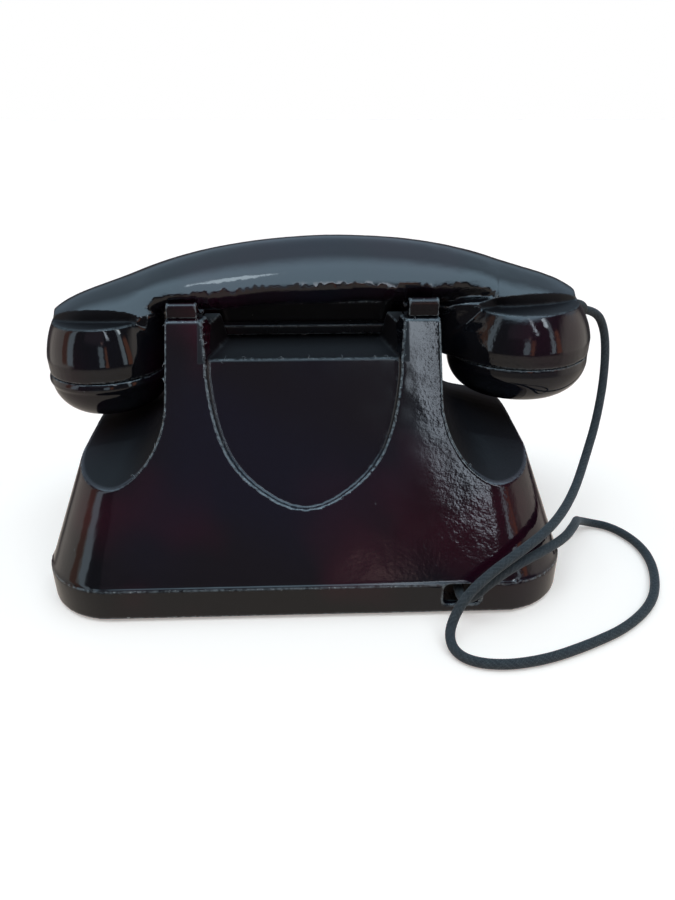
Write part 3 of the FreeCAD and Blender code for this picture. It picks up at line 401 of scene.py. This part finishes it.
def enamel():
    k = Mat("number_enamel")
    g = k.noise(70.0, 4.0, 0.6)
    c = k.mix(k.ramp(g, 0.4, 0.75), (0.60, 0.55, 0.44), (0.52, 0.45, 0.33))
    fine = k.ramp(k.voronoi(420.0), 0.0, 0.035, 1.0, 0.0)
    c = k.mix(k.math("MULTIPLY", fine, 0.4), c, (0.16, 0.12, 0.08))
    return k.bsdf(color=c, rough=k.ramp(g, 0.3, 0.7, 0.16, 0.28), coat=0.3, coat_rough=0.08, normal=k.bump(g, 0.0002, 0.1))


BODY_PAINT = black_paint("black_moulding", rough=0.090, peel=1.0, tint=1.0)
HAND_PAINT = black_paint("black_handset", rough=0.060, peel=0.9, tint=0.4, worn_and_glint=0.35, dusty=0.6)
CAP_PAINT = black_paint("black_cap", rough=0.045, peel=0.25, tint=0.3, worn_and_glint=0.5, dusty=0.5)
MATS = {
    "plated_steel": metal("plated_steel", (0.56, 0.55, 0.53), 0.30, (1, 6, 1)),
    "pad": plain("pad", (0.020, 0.019, 0.017), (0.042, 0.038, 0.033), 0.95, 900.0, 0.0003, 0.9),
    "rubber": plain("rubber", (0.012, 0.012, 0.012), (0.020, 0.019, 0.018), 0.70, 400.0),
    "dial_metal": metal("dial_metal", (0.60, 0.60, 0.60), 0.20, (1, 1, 1), 0.15, (0.09, 0.08, 0.07), 0.18),
    "number_enamel": enamel(),
    "brass": metal("brass", (0.66, 0.45, 0.17), 0.30, (1, 1, 5), 0.25, (0.12, 0.08, 0.03)),
    "contact_brass": metal("contact_brass", (0.72, 0.55, 0.30), 0.26, (1, 5, 1), 0.2, (0.15, 0.10, 0.05)),
    "gong_metal": metal("gong_metal", (0.62, 0.56, 0.44), 0.22, (1, 1, 6), 0.2, (0.12, 0.09, 0.05)),
    "winding": winding_mat(),
    "magnet_iron": metal("magnet_iron", (0.25, 0.24, 0.23), 0.45, (1, 1, 1), 0.3, (0.10, 0.04, 0.02), 0.4),
    "capacitor_can": metal("capacitor_can", (0.48, 0.48, 0.47), 0.38, (1, 1, 4), 0.2, (0.10, 0.09, 0.07)),
    "inner_moulding": plain("inner_moulding", (0.035, 0.018, 0.010), (0.060, 0.030, 0.016), 0.45, 300.0),
    "capsule_metal": metal("capsule_metal", (0.50, 0.49, 0.46), 0.34, (4, 1, 1)),
    "black_moulding": BODY_PAINT,
    "black_cap": CAP_PAINT,
    "cord_textile": cord_mat(),
}
slot_of = {s["node"]: s["material_slot"] for s in frame["record"]["subparts"]}
for n, o in NODES.items():
    o.data.materials.clear()
    o.data.materials.append(MATS[slot_of[n]])


def paint(o, mat):
    o.data.materials.clear()
    o.data.materials.append(mat)
    for key in ("edge", "crease", "matte", "peel", "facet"):
        if o.data.attributes.get(key) is None:
            attribute(o.data, key, np.zeros(len(o.data.vertices)))
    return o


# ---------------------------------------------------------------------------
# housing
# ---------------------------------------------------------------------------
def inset(co):
    """How far a point lies inside the plain sloping block, before its hollows were sunk, in metres."""
    x, y, z = np.abs(co[:, 0]), co[:, 1], co[:, 2]
    up = np.maximum(z - 0.0156, 0)
    k = np.clip(up / 0.0939, 0, 1)
    side = (0.1102 - up * 0.03220 / 0.0939) - x
    back = y + 0.0817 - up * 0.0579 / 0.0939
    front = 0.0817 - y - up * 0.0677 / 0.0939
    end = np.minimum(back, front)
    r = (1 - k) * 0.0302 + k * 0.0110
    corner = r - np.hypot(np.maximum(r - side, 0), np.maximum(r - end, 0))
    d = np.where((side < r) & (end < r), corner, np.minimum(side, end))
    return d * 0.86


def housing_matte(co, nn):
    d = inset(co)
    x = np.abs(co[:, 0])
    scoop = step(x, 0.0578, 0.0592) * step(d, 0.0006, 0.0014)
    ledge = step(co[:, 2], 0.0935, 0.0945) * (x < 0.0445) * step(nn[:, 2], 0.2, 0.6) * (co[:, 1] < 0.0125)
    skirt = 1 - step(co[:, 2], 0.0150, 0.0158)
    inner = (np.abs(co[:, 0]) < 0.040) * (co[:, 1] > -0.024) * (co[:, 1] < 0.012) * (co[:, 2] > 0.09)
    return np.clip(scoop * 1.0 + ledge * 1.0 + inner * 1.0 + skirt * 0.18, 0, 1)


def housing_peel(co, nn):
    right = step(co[:, 0], 0.042, 0.058)
    n = vnoise(co, 28.0, 5)
    base = 0.03 + 0.10 * step(n, 0.55, 0.85)
    foot = step(co[:, 0], 0.005, 0.020) * (1 - step(co[:, 0], 0.050, 0.060)) * (1 - step(co[:, 2], 0.028, 0.040))
    return np.clip(base + right * (0.45 + 0.5 * n) + foot * 0.35, 0, 1) * step(co[:, 2], 0.0150, 0.0175)


def housing_shape(co, e, me):
    put(me, co)
    nn = normals(me)
    # the hand-laid paint swells by a few hundredths of a millimetre
    swell = (vnoise(co, 60.0, 1) - 0.5) * 0.00010 + (vnoise(co, 170.0, 2) - 0.5) * 0.00005
    right = step(co[:, 0], 0.044, 0.060) * step(co[:, 2], 0.018, 0.03) * (nn[:, 1] < -0.3)
    ripple = (vnoise(co, 330.0, 3) - 0.5) * 0.000016 + (vnoise(co, 520.0, 4) - 0.5) * 0.000012
    return co + nn * (swell + right * ripple)[:, None]


housing = skin("housing_shell", "housing", 0.00065, 2, "base", shape=housing_shape,
               extra={"matte": housing_matte, "peel": housing_peel})
paint(housing, BODY_PAINT)



def lint():
    """Fine pale hairs and curls of flash caught along the ridges on the camera's side."""
    rng = np.random.default_rng(7)
    me = housing.data
    co, nn = coords(me), normals(me)
    ridge = np.empty(len(co), np.float32)
    me.attributes["edge"].data.foreach_get("value", ridge)
    back = (nn[:, 1] < -0.1) & (ridge > 0.6) & (co[:, 2] > 0.020)
    left = back & (co[:, 0] < -0.030) & (co[:, 0] > -0.075)
    front = back & (np.abs(co[:, 0]) < 0.040) & (co[:, 2] > 0.085) & (co[:, 2] < 0.098)
    rest = back & (np.abs(co[:, 0]) < 0.075)
    picks = [rng.choice(np.flatnonzero(m), n) for m, n in ((left, 46), (front, 14), (rest, 30)) if m.any()]
    verts, faces = [], []
    for i in np.concatenate(picks):
        n = nn[i] / np.linalg.norm(nn[i])
        a = np.cross(n, rng.normal(size=3))
        a /= np.linalg.norm(a)
        b = np.cross(n, a)
        size = rng.uniform(0.0004, 0.0014)
        turn = rng.uniform(1.2, 4.5)
        rad = rng.uniform(0.000035, 0.00007)
        t = np.linspace(0, 1, 14)
        ang = turn * t
        line = co[i] + n * 0.00002 + (np.outer(np.sin(ang), a) + np.outer(1 - np.cos(ang), b)) * size / turn * 2 \
            + np.outer(np.sin(t * math.pi) * size * rng.uniform(0.2, 0.7) + t * size * 0.25, n)
        tan = np.gradient(line, axis=0)
        tan /= np.linalg.norm(tan, axis=1)[:, None]
        u = np.cross(tan, n + 0.01)
        u /= np.linalg.norm(u, axis=1)[:, None]
        v = np.cross(tan, u)
        n0 = len(verts)
        for j in range(14):
            r = rad * (1 - 0.7 * t[j])
            for k in range(5):
                q = 2 * math.pi * k / 5
                verts.append(line[j] + (math.cos(q) * u[j] + math.sin(q) * v[j]) * r)
        for j in range(13):
            for k in range(5):
                m = (k + 1) % 5
                faces.append((n0 + j * 5 + k, n0 + j * 5 + m, n0 + (j + 1) * 5 + m, n0 + (j + 1) * 5 + k))
        faces.append(tuple(n0 + k for k in range(5))[::-1])
        faces.append(tuple(n0 + 65 + k for k in range(5)))
    o = link("ridge_lint", mesh_from("ridge_lint", verts, faces))
    o.data.materials.append(plain("lint", (0.42, 0.43, 0.43), (0.25, 0.26, 0.27), 0.7, 900.0))
    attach(o, "base")


lint()

# ---------------------------------------------------------------------------
# handset
# ---------------------------------------------------------------------------
HAND = (Matrix.Translation((0.0075, -0.0035, 0.110)) @ Matrix.Rotation(math.radians(2.5), 4, "Z")
        @ Matrix.Rotation(math.radians(-1.0), 4, "Y") @ Matrix.Translation((0, 0, -0.110)))
HAND_INV = np.array(HAND.inverted())


def local(co):
    return co @ HAND_INV[:3, :3].T + HAND_INV[:3, 3]


def from_cup(p):
    """Distance from the axis of the nearer cup, and the radius of that cup's shoulder."""
    left = p[:, 0] < 0
    return np.hypot(np.abs(p[:, 0]) - np.where(left, 0.0953, 0.0908), p[:, 1]), np.where(left, 0.0210, 0.0254)


def handset_matte(co, nn):
    p = local(co)
    r, sh = from_cup(p)
    dx = np.clip((np.abs(p[:, 0]) - np.where(p[:, 0] < 0, 0.0953, 0.0900)) / (sh - 0.001), -1, 1)
    top = 0.1092 + 0.0052 * np.sqrt(1 - dx ** 2)          # the matte lens climbs the flank of the handle
    return step(p[:, 2], 0.1078, 0.1088) * (1 - step(p[:, 2] - top, -0.0002, 0.0003)) * (r < sh + 0.0002)


def handset_facet(co, nn):
    """The leaning facet of the handle, with a ragged lower border of paint runs."""
    p = local(co)
    ragged = vnoise(np.stack([p[:, 0], p[:, 1] * 0.0, p[:, 2] * 0.12], 1), 620.0, 17) - 0.45
    slow = vnoise(p * np.array([1.0, 0.0, 0.0]), 60.0, 18) - 0.5
    border = -0.26 + 0.34 * ragged * (np.abs(p[:, 0]) < 0.075) + (0.10 + 0.55 * step(p[:, 0], 0.012, 0.040) * (p[:, 0] < 0.070)) * slow
    on = step(nn[:, 2] - border, -0.02, 0.06) * (1 - step(nn[:, 2], 0.55, 0.95))
    return on * step(p[:, 2], 0.1100, 0.1125) * (1 - handset_matte(co, nn))


def handset_peel(co, nn):
    p = local(co)
    low = 1 - step(p[:, 2], 0.116, 0.124)
    return np.clip(0.12 + 0.7 * low * (np.abs(p[:, 0]) < 0.075) + 0.45 * step(p[:, 0], 0.03, 0.07), 0, 1)


def handset_shape(co, e, me):
    p = local(co)
    r, sh = from_cup(p)
    # the handle flows into its cups, the throats are rounded and the ends' flanks are eased
    join = (r < 0.034) * step(p[:, 2], 0.1098, 0.1120)
    throat = np.where(p[:, 0] < 0, (p[:, 0] > -0.0800) * (p[:, 0] < -0.064), (p[:, 0] < 0.0700) * (p[:, 0] > 0.052)) * (p[:, 2] < 0.122) * (p[:, 2] > 0.0880)
    co = relax(co, e, 14, 0.5, mask=np.clip(join, 0, 1))
    co = relax(co, e, 34, 0.5, mask=throat * 1.0)
    p = local(co)
    nose = (p[:, 0] > 0.050) * (1 - step(p[:, 0], 0.057, 0.068)) * (1 - step(p[:, 2], 0.1085, 0.1125)) * step(p[:, 2], 0.084, 0.090)
    co[:, 0] -= 0.0036 * nose
    put(me, co)
    nn = normals(me)
    p = local(co)
    # runs of paint that dried on the flanks of the handle
    along = np.stack([p[:, 0], p[:, 1] * 0.0, p[:, 2] * 0.18], 1)
    runs = step(vnoise(along, 430.0, 11), 0.48, 0.85)
    low = (1 - step(p[:, 2], 0.117, 0.127)) * step(p[:, 2], 0.1115, 0.1135) * (np.abs(p[:, 0]) < 0.076)
    lumps = (vnoise(co, 90.0, 12) - 0.5) * 0.00016 + (vnoise(co, 240.0, 13) - 0.5) * 0.00006
    right = step(p[:, 0], 0.015, 0.055) * step(p[:, 2], 0.112, 0.116)
    wrinkle = (vnoise(np.stack([p[:, 0] * 0.5, p[:, 1], p[:, 2]], 1), 420.0, 14) - 0.5) * 0.00018
    barrel = np.where(p[:, 2] < 0.108, 0.25, 1.0)
    return co + nn * (lumps * barrel + runs * low * 0.00022 + right * wrinkle * 0.6)[:, None]


handset = skin("handset_shell", "handset_handle", 0.0006, 2, "handset", shape=handset_shape,
               extra={"matte": handset_matte, "peel": handset_peel, "facet": handset_facet})
paint(handset, HAND_PAINT)
for nm in ("earpiece_cap", "mouthpiece_cap"):
    paint(skin(nm + "_shell", nm, 0.00045, 1, "handset",
               extra={"peel": lambda co, nn: 0.15 + 0 * co[:, 0]}), CAP_PAINT)

# ---------------------------------------------------------------------------
# cradle
# ---------------------------------------------------------------------------
for nm in ("cradle_saddle_left", "cradle_saddle_right"):
    paint(skin(nm + "_shell", nm, 0.0004, 2, "cradle",
               extra={"peel": lambda co, nn: 0.25 + 0 * co[:, 0], "matte": lambda co, nn: 0.25 + 0 * co[:, 0]}), BODY_PAINT)
paint(skin("cradle_bar_shell", "cradle_bar", 0.0005, 2, "cradle",
           extra={"matte": lambda co, nn: 0.5 + 0 * co[:, 0]}), BODY_PAINT)

# ---------------------------------------------------------------------------
# dial
# ---------------------------------------------------------------------------
DIAL_C = Vector((0.0, 0.0524586, 0.0561579))
DIAL_Z = Vector((0.0, 0.81116, 0.58483))
RIGHT, UP = Vector((-1, 0, 0)), Vector((0.0, -0.58483, 0.81116))


def dial_point(x, y, z):
    """x to the right and y up as one looks at the dial, z out of it, in millimetres."""
    return DIAL_C + (RIGHT * x + UP * y + DIAL_Z * z) * 0.001


paint(skin("finger_wheel_shell", "finger_wheel", 0.00040, 2, "dial_wheel"), MATS["dial_metal"])
paint(skin("finger_stop_shell", "finger_stop", 0.00025, 2, "base"), MATS["dial_metal"])


def numerals():
    verts, faces = [], []
    for k in range(1, 11):
        cu = bpy.data.curves.new("digit", "FONT")
        cu.body = str(k % 10)
        cu.size = 0.0078
        cu.extrude = 0.00005
        cu.offset = 0.00012
        cu.resolution_u = 8
        cu.align_x, cu.align_y = "CENTER", "CENTER"
        o = link("digit_tmp", cu)
        dg = bpy.context.evaluated_depsgraph_get()
        me = bpy.data.meshes.new_from_object(o.evaluated_get(dg))
        co = coords(me)
        co[:, :2] -= (co[:, :2].min(0) + co[:, :2].max(0)) / 2
        a = math.radians(15 + 30 * (k - 1))
        c = dial_point(27 * math.cos(a), 27 * math.sin(a), 3.03)
        w = np.array(c) + co[:, :1] * np.array(RIGHT) + co[:, 1:2] * np.array(UP) + co[:, 2:3] * np.array(DIAL_Z)
        n0 = len(verts)
        verts += [tuple(v) for v in w]
        faces += [tuple(n0 + i for i in p.vertices) for p in me.polygons]
        bpy.data.objects.remove(o)
        bpy.data.meshes.remove(me)
        bpy.data.curves.remove(cu)
    me = bpy.data.meshes.new("dial_numerals")
    me.from_pydata(verts, [], faces)
    me.update()
    o = link("dial_numerals", me)
    o.data.materials.append(plain("numeral_ink", (0.008, 0.008, 0.010), (0.020, 0.018, 0.018), 0.35, 700.0))
    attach(o, "base")


numerals()

# ---------------------------------------------------------------------------
# handset cord
# ---------------------------------------------------------------------------
ROUTE = [
    (0.131535, 0.009655, 0.103328), (0.138505, 0.011844, 0.101632), (0.1436, 0.0126, 0.0946), (0.1459, 0.0106, 0.0835),
    (0.1448, 0.0040, 0.0680), (0.1396, -0.0075, 0.0530), (0.1310, -0.0225, 0.0420), (0.1210, -0.0410, 0.0365),
    (0.1100, -0.0585, 0.0350), (0.0985, -0.0730, 0.0345), (0.0850, -0.0825, 0.0310), (0.0725, -0.0880, 0.0250),
    (0.0630, -0.0920, 0.0175), (0.0576, -0.0956, 0.0096), (0.0552, -0.1006, 0.0044), (0.0568, -0.1072, 0.0021),
    (0.0635, -0.1126, 0.00205), (0.0760, -0.1142, 0.00205), (0.0920, -0.1114, 0.00205), (0.1100, -0.1044, 0.00205),
    (0.1300, -0.0945, 0.00205), (0.1475, -0.0785, 0.00205), (0.1570, -0.0570, 0.00205), (0.1586, -0.0380, 0.00205),
    (0.1510, -0.0225, 0.00205), (0.1400, -0.0185, 0.0026), (0.1315, -0.0250, 0.0080), (0.1258, -0.0370, 0.0160),
    (0.1188, -0.0515, 0.0230), (0.1088, -0.0670, 0.0266), (0.0960, -0.0770, 0.0270), (0.0835, -0.0826, 0.0242),
    (0.0730, -0.0858, 0.0182), (0.0666, -0.0872, 0.0122), (0.0633, -0.0836, 0.0093), (0.0630, -0.0775, 0.0092),
    (0.0630, -0.0720, 0.0092)]


def cord():
    cu = bpy.data.curves.new("cord_route", "CURVE")
    cu.dimensions = "3D"
    cu.resolution_u = 24
    sp = cu.splines.new("NURBS")
    sp.points.add(len(ROUTE) - 1)
    for p, q in zip(sp.points, ROUTE):
        p.co = (*q, 1.0)
    sp.order_u = 3
    sp.use_endpoint_u = True
    o = link("cord_route", cu)
    dg = bpy.context.evaluated_depsgraph_get()
    line = bpy.data.meshes.new_from_object(o.evaluated_get(dg))
    pts = coords(line)
    bpy.data.objects.remove(o)
    keep = [0] + [i for i in range(1, len(pts)) if np.linalg.norm(pts[i] - pts[i - 1]) > 1e-7]
    pts = pts[keep]
    seg = np.linalg.norm(np.diff(pts, axis=0), axis=1)
    s = np.concatenate([[0], np.cumsum(seg)])
    length = s[-1]
    rings, around, ends = 3000, 60, 8
    t = np.linspace(0, length, rings)
    c = np.stack([np.interp(t, s, pts[:, k]) for k in range(3)], 1)
    tan = np.gradient(c, axis=0)
    tan /= np.linalg.norm(tan, axis=1)[:, None]
    u = np.cross(tan[0], (0, 0, 1.0))
    u /= np.linalg.norm(u)
    us = np.empty_like(c)
    for i in range(rings):
        u = u - tan[i] * (u @ tan[i])
        u /= np.linalg.norm(u)
        us[i] = u
    vs = np.cross(tan, us)
    th = np.linspace(0, 2 * math.pi, around, endpoint=False)
    S, TH = np.meshgrid(t, th, indexing="ij")
    # braid of 12 + 12 yarns, one over and one under
    n, pitch = 12, 0.00115
    a = n * TH / (2 * math.pi) + S / pitch
    b = n * TH / (2 * math.pi) - S / pitch
    ia, ib = np.floor(a), np.floor(b)
    fa, fb = a - ia, b - ib
    over = np.mod(ia + ib, 2) < 1
    ha = np.sin(math.pi * fa) ** 0.6 * (0.62 + 0.38 * np.sin(math.pi * fb))
    hb = np.sin(math.pi * fb) ** 0.6 * (0.62 + 0.38 * np.sin(math.pi * fa))
    h = np.where(over, ha, hb)
    ida, idb = np.mod(ia, n), np.mod(ib, n)
    yarn = np.where(over, np.mod(ida * 5 + 2, 12) / 11.0, np.mod(idb * 7 + 1, 12) / 11.0)
    flat = np.stack([S.ravel() * 1.0, TH.ravel() * 0.002, 0 * S.ravel()], 1)
    slub = (vnoise(flat, 180.0, 21) - 0.5).reshape(S.shape) * 0.00007
    R = 0.00190 + h * 0.00010 + slub
    R[0, :] = 0.00190
    R[-1, :] = 0.00190
    V = c[:, None, :] + R[..., None] * (np.cos(TH)[..., None] * us[:, None, :] + np.sin(TH)[..., None] * vs[:, None, :])
    verts = V.reshape(-1, 3)
    idx = np.arange(rings * around).reshape(rings, around)
    q = np.stack([idx[:-1], np.roll(idx, -1, 1)[:-1], np.roll(idx, -1, 1)[1:], idx[1:]], -1).reshape(-1, 4)
    n0 = len(verts)
    verts = np.vstack([verts, c[0], c[-1]])
    faces = [tuple(f) for f in q[:, ::-1]]
    for i in range(around):
        j = (i + 1) % around
        faces.append((n0, int(idx[0, i]), int(idx[0, j])))
        faces.append((n0 + 1, int(idx[-1, j]), int(idx[-1, i])))
    me = mesh_from("braided_cord", verts, faces)
    bm = bmesh.new()
    bm.from_mesh(me)
    bmesh.ops.recalc_face_normals(bm, faces=bm.faces)
    bm.to_mesh(me)
    bm.free()
    me.shade_smooth()
    attribute(me, "height", np.concatenate([h.ravel(), [0.5, 0.5]]))
    attribute(me, "yarn", np.concatenate([yarn.ravel(), [0.5, 0.5]]))
    o = link("braided_cord", me)
    me.materials.append(MATS["cord_textile"])
    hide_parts("handset_cord")
    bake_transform(o)
    return o, length


braid, cord_length = cord()
print("cord length", round(cord_length, 4))

# ---------------------------------------------------------------------------
# stage and light
# ---------------------------------------------------------------------------
SCENE.view_settings.view_transform = "Standard"
fm = Mat("floor")
fg = fm.noise(9.0, 4.0, 0.6)
fm.bsdf(color=fm.mix(fg, (0.92, 0.72, 0.60), (0.90, 0.70, 0.585)), rough=0.9, spec=0.0)
fm.set(fm.b.inputs["Emission Color"], (1.0, 1.0, 1.0))
fm.set(fm.b.inputs["Emission Strength"], 0.28)
bm = bmesh.new()
bmesh.ops.create_grid(bm, x_segments=8, y_segments=8, size=6.0)
me = bpy.data.meshes.new("floor")
bm.to_mesh(me)
bm.free()
floor = link("floor", me)
floor.location = (0, 0, -0.0002)
me.materials.append(fm.m)
floor.visible_glossy = False          # the paint reflects the room below, not the white sheet

world = bpy.data.worlds.new("studio")
SCENE.world = world
world.use_nodes = True
wt = world.node_tree
wt.nodes.clear()


def wn(kind, **p):
    n = wt.nodes.new("ShaderNode" + kind)
    for k, v in p.items():
        setattr(n, k, v)
    return n


def wset(socket, v):
    if isinstance(v, bpy.types.NodeSocket):
        wt.links.new(v, socket)
    else:
        socket.default_value = v


def wmath(op, a, b=0.0, clamp=False):
    n = wn("Math", operation=op, use_clamp=clamp)
    wset(n.inputs[0], a)
    wset(n.inputs[1], b)
    return n.outputs[0]


def wrange(v, a, b):
    n = wn("MapRange", clamp=True, interpolation_type="SMOOTHSTEP")
    wset(n.inputs["Value"], v)
    n.inputs["From Min"].default_value = a
    n.inputs["From Max"].default_value = b
    return n.outputs[0]


def wmix(fac, a, b):
    n = wn("Mix", data_type="RGBA")
    wset(n.inputs[0], fac)
    wset(n.inputs[6], a)
    wset(n.inputs[7], b)
    return n.outputs[2]


# A cool bright ceiling, darker walls, a table of dull wood below, and the openings and
# furniture of a room as soft upright panels. Directions only: az is measured from -Y
# towards +X in degrees.
direction = wn("TexCoord").outputs["Generated"]
sep = wn("SeparateXYZ")
wset(sep.inputs[0], direction)
X, Y, Z = sep.outputs
AZ = wmath("MULTIPLY", wmath("ARCTAN2", X, wmath("MULTIPLY", Y, -1.0)), 180.0 / math.pi)
TILT = wmath("ADD", AZ, wmath("MULTIPLY", wmath("SUBTRACT", Z, 0.66), 28.0))


def window(v, a, b, soft):
    return wmath("MULTIPLY", wrange(v, a - soft, a + soft), wmath("SUBTRACT", 1.0, wrange(v, b - soft, b + soft)))


def panel(sky, az, z, colour, soft=1.5, soft_z=0.05, along=None):
    mask = wmath("MULTIPLY", window(along or AZ, az[0], az[1], soft), window(Z, z[0], z[1], soft_z))
    return wmix(mask, sky, (*colour, 1))


near = wrange(wmath("MULTIPLY", Y, -1.0), -0.35, 0.10)             # the camera's side of the room
sky = wmix(wrange(Z, -0.42, -0.22), (0.52, 0.47, 0.42, 1), (0.085, 0.075, 0.078, 1))
side = wmath("MULTIPLY", wrange(wmath("ABSOLUTE", X), 0.76, 0.92), wrange(Z, -0.45, -0.2))
sky = wmix(side, sky, (0.80, 0.74, 0.68, 1))
far_up = wmix(wrange(Z, 0.22, 0.60), sky, (0.62, 0.84, 1.04, 1))
near_up = wmix(wrange(Z, 0.70, 0.86), sky, (1.90, 2.70, 3.35, 1))
sky = wmix(near, far_up, near_up)
sky = panel(sky, (-32, 9), (0.40, 0.72), (0.20, 0.155, 0.185))                      # a dark doorway
sky = panel(sky, (-66, -54), (-0.12, 0.80), (1.10, 1.35, 1.55))
sky = panel(sky, (-80, -69), (-0.12, 0.72), (0.50, 0.26, 0.18))
sky = panel(sky, (-4, 6), (-0.14, 0.36), (1.00, 1.25, 1.42), 1.0, 0.04)
sky = panel(sky, (8, 13), (-0.20, 0.34), (0.95, 0.42, 0.26), 1.0, 0.04)
sky = panel(sky, (41, 47), (-0.14, 0.80), (1.30, 1.60, 1.80), 1.0)
sky = panel(sky, (50, 57), (-0.18, 0.45), (0.95, 0.40, 0.24), 1.2)
sky = panel(sky, (11.4, 15.8), (0.49, 0.84), (4.4, 5.0, 5.7), 1.3, 0.03, TILT)        # the tall window
sky = panel(sky, (4.0, 7.0), (0.40, 0.445), (1.3, 0.90, 0.86), 0.8, 0.012)
camera_ray = wn("LightPath").outputs["Is Camera Ray"]
sky = wmix(camera_ray, sky, (1.0, 1.0, 1.0, 1))
bg = wn("Background")
wset(bg.inputs[0], sky)
bg.inputs[1].default_value = 1.0
wo = wn("OutputWorld")
wt.links.new(bg.outputs[0], wo.inputs[0])


def card(name, aim, distance, size, energy, colour):
    """A soft box in direction aim from the middle of the set."""
    d = Vector(aim).normalized()
    la = bpy.data.lights.new(name, "AREA")
    la.shape = "RECTANGLE"
    la.size, la.size_y = size
    la.energy = energy * size[0] * size[1] * math.pi     # energy here is the box's brightness
    la.color = colour
    o = bpy.data.objects.new(name, la)
    SCENE.collection.objects.link(o)
    o.location = Vector((0, 0, 0.08)) + d * distance
    o.rotation_mode = "QUATERNION"
    o.rotation_quaternion = (-d).to_track_quat("-Z", "Y")
    return o


card("window_top", (-0.10, -0.24, 0.95), 1.4, (0.20, 0.13), 5.5, (0.80, 0.93, 1.0))
card("window_right", (0.52, -0.55, 0.66), 1.3, (0.10, 0.30), 7.0, (0.80, 0.92, 1.0))
